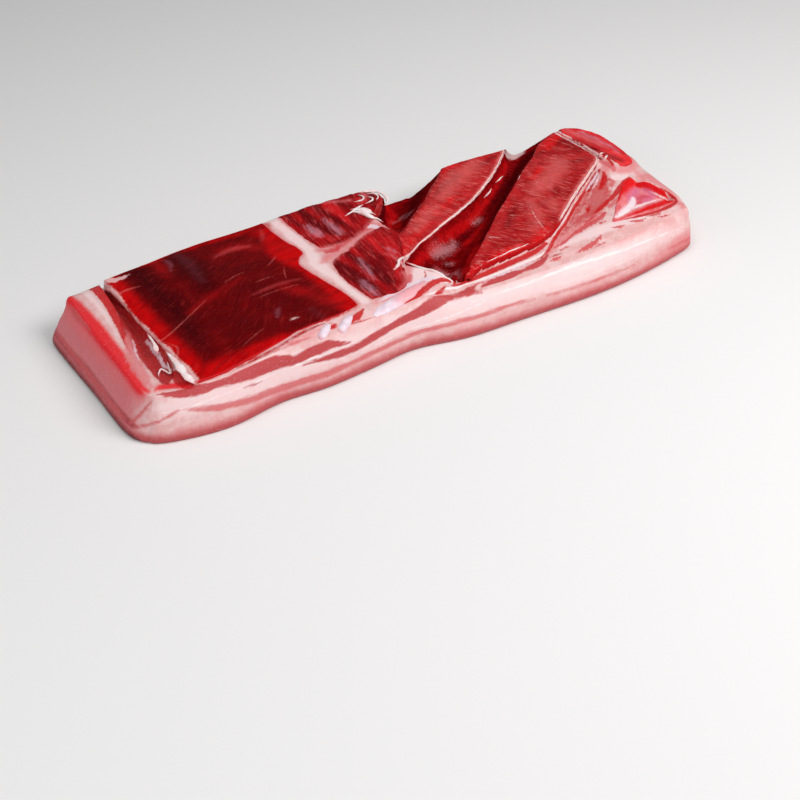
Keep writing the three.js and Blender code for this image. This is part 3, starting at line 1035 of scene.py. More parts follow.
# Paint on the rib side: strokes of places along and across the slab and half the width there.
MARKS: dict[str, Lines] = {
    "streak": (
        ((-16, -62, 0.4), (-6, -64, 2), (6, -66, 3.4), (18, -67, 3.6), (27, -65, 2.4), (34, -63, 0.5)),
        ((36, -66, 0.5), (44, -66, 2.4), (54, -66.5, 3.2), (66, -66, 2.4), (72, -66.5, 1.2), (82, -66, 2.4),
         (92, -64, 2.4), (99, -60, 0.8)), ((98, -64, 0.3), (104, -63.5, 1), (110, -64, 0.3)),
        ((-176, -63, 0.6), (-184, -62.5, 2.2), (-192, -61.5, 3.2), (-202, -59.5, 2.4), (-208, -57, 0.3))),
    "faint": (((-38, 24, 1), (-32, 21, 2), (-24, 22, 2.6), (-14, 25, 2)),
        ((-8, 28, 1), (4, 31, 2), (14, 30, 2)), ((176, -36, 2), (190, -30, 2.5), (206, -22, 1.5)),
        ((200, 0, 1), (204, -6, 2), (198, -12, 1.5)), ((-22, -48, 1.2), (-10, -44, 1.8), (-3, -36, 1.4)),
        ((-134, -62, 0.4), (-112, -60.5, 0.8), (-98, -61, 0.4)), ((214, 20, 2), (216, 10, 3), (214, 4, 1))),
    "line": (((28, -59.5, 0.6), (44, -60, 1.3), (62, -59.5, 1.4), (80, -59, 1.4), (94, -58, 1.4),
         (104, -54.5, 1.1), (120, -41.4, 0.5), (139, -29.8, 0.5), (154, -19.4, 0.4), (168, -10.4, 0.3)),
        ((-10, -61, 0.3), (0, -60, 0.8), (10, -58.5, 0.8), (22, -59.5, 0.9), (32, -58.5, 0.5)),
        ((8, -61, 0.4), (11, -66, 0.5), (11, -72, 0.3)),
        ((3, -24, 0.6), (8, -33, 0.7), (15, -44, 0.8), (20, -52, 0.7), (14, -53.5, 0.5), (4, -52, 0.3)),
        ((-96, -54, 0.3), (-84, -53.4, 0.6), (-70, -52, 0.5), (-58, -50.5, 0.6)),
        ((-116, -58.4, 0.2), (-110, -57.2, 0.7), (-105, -55.6, 0.2)),
        ((-128, -59.6, 0.2), (-123, -59, 0.5), (-119, -58.6, 0.2))),
    "rosy": (((-40, 25, 2), (-30, 21, 5), (-12, 24, 6), (6, 32, 6), (17, 30, 5)),
        ((-46, 10, 1), (-38, 14, 4), (-28, 16, 4)),
        ((-44, -52, 1), (-30, -52, 1.6), (-14, -46, 2), (-4, -34, 3), (2, -26, 3)),
        ((206, 6, 2), (213, 12, 4)), ((218, 2, 4), (228, 2, 6), (236, 10, 6)),
        ((222, -66, 2), (231, -40, 4), (233, -14, 4)), ((-112, -60, 2), (-96, -58, 2), (-80, -57, 1)),
        ((224, -20, 2), (229, -10, 3), (228, 0, 2)),
        ((100, -58, 2), (116, -52, 3), (132, -47, 3), (150, -44, 4), (162, -40, 4))),
    "pale": (((-136, -60.5, 1), (-118, -58.5, 3), (-98, -57, 3), (-84, -56, 2)),
        ((-30, -50, 1), (-12, -48, 4), (-2, -44, 6), (4, -36, 5), (10, -43, 6), (15, -49, 3)),
        ((-196, 84, 2.4), (-196, 60, 2), (-197, 40, 1.2), (-199.4, 20, 0), (-201, 8, -1)),
        ((-45, 84, 4), (-45, 50, 4), (-46, 25, 4.5), (-50, 8, 5), (-48, -12, 3.4), (-47, -46, 4)),
        ((112, -57, 2), (124, -56, 3), (150, -58, 5), (190, -63, 2.6)),
        ((207, -2, 3), (214, -5, 5), (222, 1, 5), (229, -8, 3)), ((228, -56, 3), (231, -30, 3))),
    "red": (((-188.5, 84, 3.4), (-189, 60, 3.2), (-191.5, 40, 2.8), (-195, 20, 2.2), (-199, 4, 1.6),
         (-202, -10, 0.6)), ((-84, -52.8, 0.4), (-76, -52.6, 0.8), (-56, -50.6, 0.6)),
        ((-84, -59.5, 0.5), (-79.4, -59.4, 1.6), (-77, -58, 0.6)),
        ((-80, -64.5, 0.3), (-76, -65.5, 0.6), (-70, -65, 0.2)),
        ((-68, -61, 0.5), (-62, -59, 2.4), (-57, -57, 1.8), (-52.5, -54, 0.4)),
        ((-68, -62, 0.2), (-56, -63.6, 0.8), (-48, -62.6, 0.3)),
        ((-52, -64, 0.8), (-38, -62.8, 1.7), (-22, -60.2, 2.1), (-6, -56.4, 2.3), (6, -52.2, 2.4),
         (15, -51, 2), (22, -54.6, 1.4)),
        ((-186, -38, 2), (-186.4, -46, 4), (-186.4, -54, 4.4), (-185, -60, 2.4)),
        ((2, -46, 0.2), (6, -42, 0.6), (8, -37, 0.3)),
        ((-11, -65.5, 0.4), (0, -62, 1.2), (9, -58.5, 1.1), (13, -56.5, 0.4)),
        ((18, -57, 0.8), (30, -57, 1.4), (44, -55.6, 2.6), (70, -54, 3), (92, -52.4, 2.6), (107, -48, 1.6)),
        ((92, -61, 0.6), (104, -55, 1.4), (117, -45.6, 1.4), (135, -35, 1.4), (155, -21, 1.4),
         (171, -10.4, 1.3), (184, -1.8, 1.2), (197, 6.6, 1), (207, 13, 0.7)),
        ((158, -38, 0.4), (166, -35.6, 1.5), (176, -31.6, 1.6), (184, -27.6, 0.6)),
        ((183, -14, 0.4), (192, -8, 1.8), (200, -1, 2.2), (205, 5, 1.4), (207, 9, 0.5)),
        ((157, -33, 0.4), (161, -29.5, 1.4), (165, -26, 0.5)),
        ((166, -34, 0.6), (176, -30.5, 1.8), (188, -25.5, 2), (200, -18.6, 2.6), (212, -12, 2.6),
         (219, -9, 1.6)),
        ((168, -56, 0.4), (184, -59, 1.5), (200, -60.6, 2), (214, -60, 2), (224, -56, 1.6), (228, -45, 1.2),
         (228, -34, 0.5)), ((216, 8, 0.4), (219, 14, 1.4), (220, 24, 1.2)),
        ((213.6, 26, 0.6), (215, 50, 0.9), (214.5, 76, 0.9))),
    # Dark red: mostly dark lean, as along the belly muscle's trimmed front and in the crease; in the hole
    # beside the torn curl and round the rolled edge's end it is painted shade.
    "dark": (
        ((-152, -61.4, 0.3), (-138, -60.8, 1), (-118, -58.6, 1), (-100, -55.2, 1.1), (-84, -54.2, 0.8)),
        ((-182.4, 84, 2.6), (-182.8, 60, 3.6), (-184, 42, 5), (-186, 26, 6.4), (-188, 8, 8.4),
         (-188.8, -10, 8.8), (-190.4, -24, 8.2), (-192.5, -36, 6.4), (-196, -45, 3)),
        ((14, 56, 0.6), (21, 54, 2), (24, 48, 3.4), (22, 40, 2.4)),
        ((217, 66, 0.8), (217.4, 44, 1.1), (217, 22, 0.9)), ((7, -31, 0.3), (11, -38, 1), (17, -46, 1)),
        ((178, -9, 0.6), (186, -3, 1.8), (196, 5, 2.2), (206, 12, 1.2)),
        ((26, 52, 3), (33, 56, 4), (38, 62, 4), (41, 70, 4), (42, 80, 3))),
    "sheen": (((40, -62.5, 0.3), (56, -61.8, 1), (72, -62, 1), (88, -61, 0.6)),
        ((2, 38, 2.2), (8, 34, 3), (14, 27, 2.2)),
        ((176, -8, 0.3), (186, -1.5, 1), (198, 6, 0.9), (206, 14, 0.3)),
        ((184, -7, 0.2), (194, 0, 0.6), (203, 8, 0.2)),
        ((-183.4, 8, 0.6), (-184.6, -8, 1.4), (-186, -17, 0.8)),
        ((-190, 14, 0.2), (-196, -2, 0.8), (-200, -16, 0.2)),
        ((-184, -12, 0.4), (-187, -24, 1.2), (-186, -34, 0.4)),
        ((-40, -52.5, 0.5), (-24, -49, 2.2), (-8, -46.5, 3), (6, -47, 2.4), (12, -49, 0.8))),
    "blush": (((-207, 84, 2.2), (-206.4, 60, 2.8), (-207.4, 25, 4.2), (-209.4, 0, 4.8), (-211.4, -25, 4.6),
         (-212.2, -42, 3.4), (-210, -51, 1.4)),
        ((-206, -53, 1), (-200, -51, 3.4), (-193, -51, 4.4), (-188, -56, 3.6))),
    "membrane": (((-190, 22, 0.4), (-196, 6, 2.4), (-201, -8, 4.4), (-204, -22, 4.6), (-206, -36, 3.4),
         (-207, -48, 1.6)),),
    "zone": (((120, -47, 1.4), (134, -41.4, 2), (148, -37, 3.4), (161, -33, 5.6), (170, -27.6, 7.6),
         (178, -21, 8.2), (187, -13, 7), (196, -5, 4.4), (204, 3, 2.6)),
        ((116, -48, 0.8), (136, -37.6, 2), (152, -27.6, 3), (166, -17.6, 3), (180, -8.6, 2.4))),
    "grain": (((108, -56, 0.4), (118, -54, 1.4), (128, -50.5, 1), (138, -48.5, 2.2), (150, -46.5, 2.6),
         (160, -45, 2), (167, -41, 1.4)), ((96, -66.6, 0.4), (101, -67, 1.6), (106, -66.6, 0.3)),
        ((110, -61, 0.3), (114, -60, 1.2), (118, -59.6, 0.3)),
        ((28, -62, 0.2), (44, -63, 0.6), (60, -62, 0.4), (80, -62, 0.6), (94, -60, 0.4)),
        ((-37, 20, 1), (-30, 19, 2.2), (-24, 22, 1.2)), ((-22, 26, 0.6), (-12, 30, 1.2)),
        ((119, -68.5, 0.6), (130, -68, 2), (140, -66, 1.4), (146, -63, 0.5)),
        ((132, -71, 0.3), (138, -71.2, 1.1), (144, -71, 0.3)),
        ((158, -61, 0.5), (163, -63, 1.7), (168, -62.6, 0.5)),
        ((174, -61.5, 0.8), (179, -63.6, 2), (184, -64.5, 0.7)),
        ((183, -65, 0.5), (186, -64, 0.9), (187, -63, 0.3)),
        ((190, -62.6, 0.4), (196, -63.6, 1.4), (202, -63.6, 0.4)),
        ((146, -43, 0.5), (152, -42.6, 1.6), (158, -40.4, 0.6)),
        ((152, -49.6, 0.4), (156, -51, 1.3), (160, -50.6, 0.4)),
        ((196, -66, 0.6), (204, -69, 1.3), (214, -71, 1.2), (224, -69, 0.8), (228, -66, 0.4))),
    "dusty": (((164, -31, 1), (171, -27, 3.8), (178, -20.6, 5), (186, -14, 3.4)),),
    "flush": (((-211.5, 84, 3), (-212, 40, 3), (-215, 0, 3), (-217, -40, 3)),),
}


# ---- the slab's body


@dataclass(frozen=True)
class SlabBody:
    """The fat and the layered lean: all of the slab that no laid muscle covers.

    How far round the slab a place lies is counted from the foot of its front left corner, and
    `starts` says how far round x or y is 0 on the front, right, back and left sides. Strokes on
    these sides say how far round from x = 0 on the front, how high, and half the width.
    """

    foot: Quilt = Quilt(
        front=((-222, -66), (-207, -73), (-181, -79), (-160, -80), (-128, -75.5), (-95, -78.5),
               (-55, -76.5), (-22, -74), (15, -83), (60, -86), (130, -90), (184, -86), (228, -78)),
        right=((228, -78), (232, -55), (234, -20), (236, 20), (237, 50), (234, 68), (224, 79)),
        back=((-227, 80), (-200, 81), (-150, 81), (-60, 82), (20, 81), (60, 79), (105, 81),
              (160, 81), (224, 79)),
        left=((-222, -66), (-229.5, -49), (-229, 0), (-229, 60), (-227, 80)),
    )
    top: Quilt = Quilt(
        front=((-208, -57), (-181, -61.5), (-120, -62), (-88, -64), (-50, -63), (-12, -60),
               (20, -64), (60, -69), (130, -71), (184, -70), (224, -67)),
        right=((224, -67), (232, -50), (236, -20), (239, 15), (242, 42), (240, 58), (232, 70),
               (218, 79)),
        back=((-207, 78), (-150, 78.5), (-100, 80), (-54, 81), (0, 81), (25, 80), (60, 78),
              (105, 79), (160, 79), (218, 79)),
        left=((-208, -57), (-213, -44), (-211, 0), (-209, 40), (-207, 78)),
    )
    cells: tuple[int, int] = (428, 138)
    levels: int = 24
    level_power: float = 1.15
    top_size: Point = (445, 142)
    edge_roll: Point = (6, 1.1)
    base_roll: Point = (5, 3)
    lump: Point = (0.3, 8, 0.15)
    side_lump: Point = (0.35, 0.3)
    corner_passes: int = 36
    bed_reach: float = 1.6
    bed_drop: float = 1
    sole_inset: float = 1.5
    rib_map: Point = (0.5, 0.996)
    side_map: Point = (0.48, 0.36)
    sole_edge_map: Point = (0.115, 0.108)
    sole_map: Point = (0.5, 480, 0.05, 1900)
    grain: float = 38
    lap: float = 1204
    starts: Point = (222, 528, 831, 1138)
    cut_ends: Line = ((-180, -54, 8.5), (-39, 37, 6), (105, 160, 6), (214, 240, 7))
    lean_streaks: Lines = (
        ((-184, 26, 0.3), (-174, 27, 1.7), (-160, 27.4, 3.4), (-142, 27.6, 3.9), (-128, 26.4, 3.2),
         (-120, 25.2, 2.6), (-110, 26.6, 3.2), (-97, 27.4, 2.7), (-87, 26, 1.4), (-77, 24.2, 0.3)),
        ((-115, 20.6, 0.3), (-104, 20.8, 1.1), (-90, 20.2, 2.1), (-76, 19.7, 2.2), (-62, 21.2, 2.6),
         (-46, 22.8, 2.5), (-30, 23.9, 2.6), (-18, 25.4, 3.2), (-8, 27.4, 3.7), (2, 27.8, 2.4),
         (14, 27.2, 1.6), (30, 25.6, 0.4)), ((-160, 20.6, 0.2), (-153, 20.8, 0.6), (-146, 20.6, 0.2)),
        ((-216, 29.4, 1.2), (-206, 28, 2.4), (-192, 27.4, 2.6), (-180, 27.4, 2), (-172, 27.4, 1.6)),
        ((233, 28, 0.3), (250, 26, 1.6), (280, 24, 2.4), (320, 24.5, 2.8), (352, 22.5, 1.8),
         (385, 20.5, 1.5), (420, 20, 1.8)),
        ((240, 15, 0.3), (268, 14, 1.3), (306, 15, 1.9), (350, 13.5, 1.2), (395, 13, 0.6)),
        ((400, 21, 0.3), (448, 20.5, 2), (500, 18, 1.6), (540, 17.5, 0.6), (578, 18.5, 2.2), (640, 22, 3.2),
         (710, 22, 3), (765, 20, 2), (812, 20, 0.4)),
        ((430, 10.5, 0.3), (500, 10, 1.2), (580, 10.6, 1.6), (680, 12, 1.8), (740, 11.5, 0.6)),
    )
    pink_streaks: Lines = (
        ((-232, 9, 1.2), (-224, 12, 1), (-214, 16, 0.8), (-205, 19.4, 0.6)),
        ((-203, 19.4, 0.4), (-190, 17, 1.3), (-176, 15, 1.8), (-155, 13, 2), (-132, 11.4, 2.2),
         (-105, 10.8, 2.2), (-80, 11.4, 1.7), (-50, 12.2, 1.5), (-20, 12.6, 1.4), (10, 13.4, 1.5),
         (45, 14.4, 1.2), (70, 13.6, 0.6)), ((80, 13, 0.4), (120, 12.6, 1), (160, 12.6, 0.4)),
        ((195, 11, 0.4), (212, 10.4, 1.2), (228, 9, 1.4), (250, 9, 1.4), (298, 9.6, 1), (338, 9, 0.3)),
        ((845, 27, 0.5), (856, 26.8, 1.8), (872, 27.2, 1.4), (884, 27.8, 0.4)),
        ((838, 10, 1), (880, 9.6, 1.6), (930, 9.2, 1.6), (962, 9.4, 1.2)),
        ((980, 26, 0.6), (975, 18, 1.1), (970, 12, 1.2), (966, 9, 0.8)),
    )
    # Pale lines on the cut sides; the third, along the front's upper ridge from x 20 to 215, is a painted
    # highlight.
    pale_lines: Lines = (
        ((-216, 19.4, 0.2), (-190, 20.4, 0.5), (-160, 21.6, 0.4), (-125, 21.4, 0.5), (-108, 23.2, 0.5),
         (-90, 23.6, 0.3)), ((-70, 15.2, 0.2), (-40, 16.6, 0.4), (-5, 17, 0.5), (30, 21, 0.3)),
        ((20, 22.6, 0.2), (60, 23.6, 0.4), (110, 24.4, 0.6), (160, 24.2, 0.6), (190, 23, 0.5),
         (215, 21.6, 0.2)), ((95, 17, 0.2), (130, 17.4, 0.3), (178, 17.2, 0.2)),
    )
    name: str = "fat_and_layers"
    finish: Flesh = Flesh(
        "belly_fat", (231, 192, 191), (224, 170, 169),
        tints=(
            Tint("pale", (244, 215, 216), 2, 0.5, 7, 0.88),
            Tint("rosy", (224, 128, 131), 3, 0.8, 7, 0.8),
            Tint("halo", (208, 84, 88), 2.4, 0.5, 2, 0.8),
            Tint("flush", (216, 116, 122), 5, 0.7, 12, 0.95),
            Tint("glow", (234, 104, 110), 4, 0.5, 9, 0.65),
            # Darker pink towards the foot of every cut side: partly the rind's colour, partly painted shade
            # where the sides curve under.
            Tint("rind_and_shade", (190, 76, 80), 3, 0.4, 9, 0.9),
            Tint("low", (158, 30, 40), 1.6, 0.35, 4, 0.8, 5),
            # Dark red-brown at the foot of the left end: partly the rind, partly painted shade.
            Tint("sole", (108, 22, 30), 2.8, 0.4, 6, 0.92, 3),
            Tint("blush", (232, 34, 44), 2.2, 0.25, 4, 0.95, 3),
            Tint("streak", (188, 62, 66), 0.7, 0.4, 1.8, 0.95, 4),
            Tint("faint", (210, 92, 96), 1, 0.5, 2.4, 0.8, 5),
            Tint("zone", (198, 58, 60), 3, 1.8, 2.8, 0.9, 2),
            Tint("grain", (206, 66, 72), 0.5, 0.9, 1.5, 0.85, 1.8),
            # White lines: membrane on the rib side, pale layers on the cut sides, and one painted highlight
            # along the front's upper ridge.
            Tint("line", (252, 236, 236), 0.35, 0.2, 2, 0.85, 4),
            Tint("red", (196, 14, 20), 0.6, 0.4, 2.2, 0.94, 2.5),
            Tint("dusty", (206, 112, 112), 2.4, 1.2, 4, 0.6, 1.5),
            # Dark red, partly painted shade in the hole by the torn curl.
            Tint("dark", (172, 6, 13), 1.2, 0.5, 4, 0.95, 2),
            Tint("membrane", (220, 128, 131), 1.8, 1.2, 2.4, 0.85, 4),
            Tint("sheen", (234, 212, 222), 0.7, 0.6, 2, 0.85, 3),
        ),
        mottle=9, fibre=(250, 230, 228), fibre_share=0.3, fibre_size=(6, 0.8),
        # Its near-white flecks are painted wet glints.
        fibre_level=(0.54, 0.68), fleck_and_glint=(253, 244, 243), fleck_and_glint_share=0.2, relief=0.12,
        fibre_relief=0.05,
        soft=Softness(weight=0.2, scale=0.0025, shine=0.12, wet=0.05, wet_roughness=0.2),
    )
    covers: Lines = ()
    halos: Lines = ()

    def bed(self, x: Array, y: Array) -> Array:
        """The body's upper side, which lies lower where laid muscles cover it.

        Args:
            x: Places along the slab.
            y: Places across it.

        Returns:
            Its heights.
        """
        height = FORM.surface(x, y)
        lowest = height.copy()
        for turn in np.arange(8) * math.pi / 4:
            dx, dy = self.bed_reach * math.cos(turn), self.bed_reach * math.sin(turn)
            lowest = np.minimum(lowest, FORM.surface(x + dx, y + dy))
        covered = np.zeros(x.shape)
        for outline in self.covers:
            covered = np.maximum(covered, smooth(0.3, 2.2, loop_depth(x, y, outline)))
        return mix(height, lowest - self.bed_drop, covered)

    def on_sides(self, around: Array, z: Array, strokes: Lines) -> Array:
        """Returns the depth in strokes of the cut sides, which may cross the lap's end."""
        along = around - self.starts[0]
        return np.maximum(stroke_depth(along, z, strokes), stroke_depth(along - self.lap, z, strokes))

    def cut_lean(self, around: Array, z: Array) -> Array:
        """The laid muscles' cut ends, which show along the back edge.

        Args:
            around: How far round the slab.
            z: Heights.

        Returns:
            How deep places lie in them.
        """
        x, depth = self.starts[2] - around, -np.inf
        wave = 1.2 * rumple(x / 16, 0, 0, 77)
        for low, high, thick in self.cut_ends:
            bottom = FORM.base(x, np.full(x.shape, 79)) - thick + wave
            depth = np.maximum(depth, np.minimum(np.minimum(x - low, high - x), z - bottom))
        return depth

    def side_numbers(self, around: Array, level: float, z: Array) -> Numbers:
        """What the finish reads on the cut sides.

        Args:
            around: How far round the slab, in millimetres from the front left corner's foot.
            level: Share of the side's height.
            z: Heights.

        Returns:
            The numbers.
        """
        turn, reach = 2 * math.pi * around / self.lap, self.lap / (2 * math.pi * 40)
        wave = rumple(reach * np.cos(turn), reach * np.sin(turn), z / 12, 51)
        past_corner = np.where(around > self.lap / 2, around - self.lap, around)
        face = smooth(-168, -148, past_corner) * (1 - smooth(-40, 12, past_corner))
        away = 8 * (1 - smooth(0, 0.5, face))
        far_round = smooth(300, 420, around)
        lean = np.maximum(self.on_sides(around, z, self.lean_streaks), self.cut_lean(around, z))
        return {
            "streak": lean,
            "faint": self.on_sides(around, z, self.pink_streaks),
            "line": self.on_sides(around, z, self.pale_lines),
            # Painted shade with the rind's colour: darker towards the foot of the sides.
            "rind_and_shade": 6.5 - z + 1.5 * wave,
            "low": 2 - np.abs(z - 9.5 - 1.5 * wave) - away,
            # Darkest at the foot of the left end: partly the rind, partly painted shade.
            "sole": 5 - z - away + wave,
            "rosy": 0.5 * (11 - z) + 3 * wave - 2 + 5 * bell(around - 460, 60),
            "flush": 12 * face - 5 + 2 * wave,
            "glow": 22 * (level - 0.72) - away + 2.5 * wave,
            "pale": 4.4 * bell(z - 22, 7.5) - 1.6 + 3 * wave - 8 * face - 2.4 * far_round,
            "blush": 34 * (level - 0.9) - away + 1.2 * wave,
        }

    def top_numbers(self, x: Array, y: Array) -> Numbers:
        """What the finish reads on the rib side.

        Args:
            x: Places along the slab.
            y: Places across it.

        Returns:
            The numbers.
        """
        painted = {key: stroke_depth(x, y, strokes) for key, strokes in MARKS.items()}
        depths = [loop_depth(x, y, outline) + 0.9 for outline in self.halos]
        absent = np.full(x.shape, UNPAINTED)
        painted |= {key: absent for key in ("rind_and_shade", "low", "sole")}
        return painted | {"halo": np.maximum.reduce([absent, *depths]), "glow": painted["flush"]}

    def upper_side(self, across: Array, deep: Array) -> Array:
        """Lays out the rib side.

        Args:
            across: Shares of its length.
            deep: Shares of its width.

        Returns:
            Its places, the first index running along the slab.
        """
        x, y = self.top.places(across, deep)
        u, v = np.meshgrid(across, deep, indexing="ij")
        length, width = self.top_size
        to_edge = np.minimum.reduce([u * length, (1 - u) * length, v * width, (1 - v) * width])
        (roll_width, roll_drop), (lump, reach, sunk) = self.edge_roll, self.lump
        z = self.bed(x, y) - roll_drop * (1 - smooth(0, roll_width, to_edge))
        return np.stack([x, y, z + lump * rumple(x / reach, y / reach, 0, 11) - sunk], -1)

    def round_slab(self, feet: Array, i: Array, j: Array) -> tuple[Array, Array]:
        """What changes round the slab.

        Args:
            feet: The places along the foot's edge.
            i: Their rows on the plan's grid.
            j: Their columns.

        Returns:
            How far round each lies, and how far the side bulges there, from 0 to 1.
        """
        (x, y), (last_row, last_column) = feet.T, self.cells
        front, right, back, left = self.starts
        sides = [j == 0, i == last_row, i == 0]
        along_front = mix(0.4, 0.92, smooth(0.35, 0.7, i / last_row))
        along_right = mix(0.92, 0.4, smooth(0, 0.2, j / last_column))
        around = np.select(sides, [front + x, right + y, left - y], back - x)
        return around, np.select(sides, [along_front, along_right, 0.25], 0.3)

    def rings(self, heads: Array, feet: Array, outward: Array, bulge: Array) -> list[Array]:
        """The places of the cut sides.

        Args:
            heads: The places along the rib side's edge.
            feet: Those along the foot's edge, in the plan.
            outward: Which way is out there.
            bulge: How far the side bulges there.

        Returns:
            The places at each level, from the top down.
        """
        rounding = eased(heads[:, :2], self.corner_passes) - heads[:, :2]
        (roll_height, inset), (sunk, lump) = self.base_roll, self.side_lump
        made = []
        for level in self.side_levels():
            lean = mix(1 - level, math.sqrt(1 - level * level), bulge)[:, None]
            z = level * heads[:, 2]
            tuck = inset * (1 - np.minimum(z / roll_height, 1)) ** 2
            plan = mix(heads[:, :2], feet, lean) - tuck[:, None] * outward
            plan = mix(plan, plan + rounding, smooth(0, 0.3, 1 - level))
            uneven = rumple(*plan.T / 9, z / 5, 21) + 0.4 * rumple(*plan.T / 3, z / 2, 22)
            inward = (sunk + lump * uneven) * smooth(0, 3, z) * smooth(0, 0.08, 1 - level)
            plan = plan - np.maximum(inward, 0)[:, None] * outward
            made.append(np.concatenate([plan, z[:, None]], 1))
        return made

    def side_levels(self) -> list[float]:
        """Returns the shares of the side's height at which its rings lie, from the top down."""
        return [1 - (step / self.levels) ** self.level_power for step in range(1, self.levels + 1)]

    def body(self) -> Body:
        """Builds the body, with its rib side, cut sides and rind.

        Returns:
            The closed mesh.
        """
        rows, columns = self.cells[0] + 1, self.cells[1] + 1
        across, deep = np.linspace(0, 1, rows), np.linspace(0, 1, columns)
        upper = self.upper_side(across, deep)
        x, y, z = np.moveaxis(upper, -1, 0)
        numbers = self.top_numbers(x, y) | {"fibre": turned(x, y, z, self.grain)}
        upper = np.stack([x, y, crowned(z)], -1)
        i, j = rim_of(rows, columns)
        feet = eased(np.stack(self.foot.places(across, deep), -1)[i, j], self.corner_passes)
        run = np.roll(feet, -1, 0) - np.roll(feet, 1, 0)
        outward = np.stack([run[:, 1], -run[:, 0]], -1)
        outward /= np.linalg.norm(outward, axis=1, keepdims=True)
        around, bulge = self.round_slab(feet, i, j)
        rings = self.rings(upper[i, j], feet, outward, eased(bulge, self.corner_passes))
        count = len(i)
        inset = np.concatenate([-self.sole_inset * outward, np.zeros((count, 1))], 1)
        rings.append(rings[-1] + inset)

        loops = [i * columns + j, *(rows * columns + np.arange(len(rings) * count).reshape(-1, count))]
        faces = [grid_faces(rows, columns), *map(band, loops[:-1], loops[1:]), loops[-1][::-1][None]]
        highest, run = self.side_map
        heights = [highest - run * step / self.levels for step in range(self.levels + 1)]
        maps = [grid_map(rows, columns, *self.rib_map)]
        maps += [band_map(count, high, low) for high, low in zip(heights[:-1], heights[1:])]
        middle, wide, low, deep = self.sole_map
        sole = (rings[-2][::-1, :2] - ORIGIN[:2]) / (wide, deep) + (middle, low)
        maps += [band_map(count, *self.sole_edge_map), sole[None]]

        sides = [self.side_numbers(around, level, ring[:, 2])
                 for level, ring in zip(self.side_levels(), rings)]
        blank = np.full(count, UNPAINTED)
        sides = [*sides, sides[-1]]
        streaks = [
            np.stack([ring[:, 0] - ring[:, 1], ring[:, 2], 0 * ring[:, 2]], 1) for ring in rings[:-1]
        ]
        painted = {
            key: np.concatenate([values.ravel(), *(side.get(key, blank) for side in sides)])
            for key, values in numbers.items() if key != "fibre"
        }
        painted["fibre"] = np.concatenate([numbers["fibre"].reshape(-1, 3), *streaks, streaks[-1]])
        painted["place"] = np.concatenate([upper.reshape(-1, 3), *rings])
        return Body(painted["place"], faces, painted, maps)


# ---- muscles laid into it

# How far outward and how far down the extra rows of an edge lie.
SUNK: Profile = ((0.7, 0.35), (1.1, 1.1), (1.3, 2.4))
FLAT: Profile = ((1.2, 0.12), (1.6, 0.55), (1.4, 1.3))
STEEP: Profile = ((0.5, 0.2), (0.9, 0.8), (1.1, 1.8), (1, 3), (0.5, 4.2))
EVEN: Profile = ((0.6, 1.2),)
HANGING: Profile = ((0.5, 0.2), (0.9, 0.9), (1.1, 2), (1.2, 3.4), (0.9, 4.8), (0.3, 6))


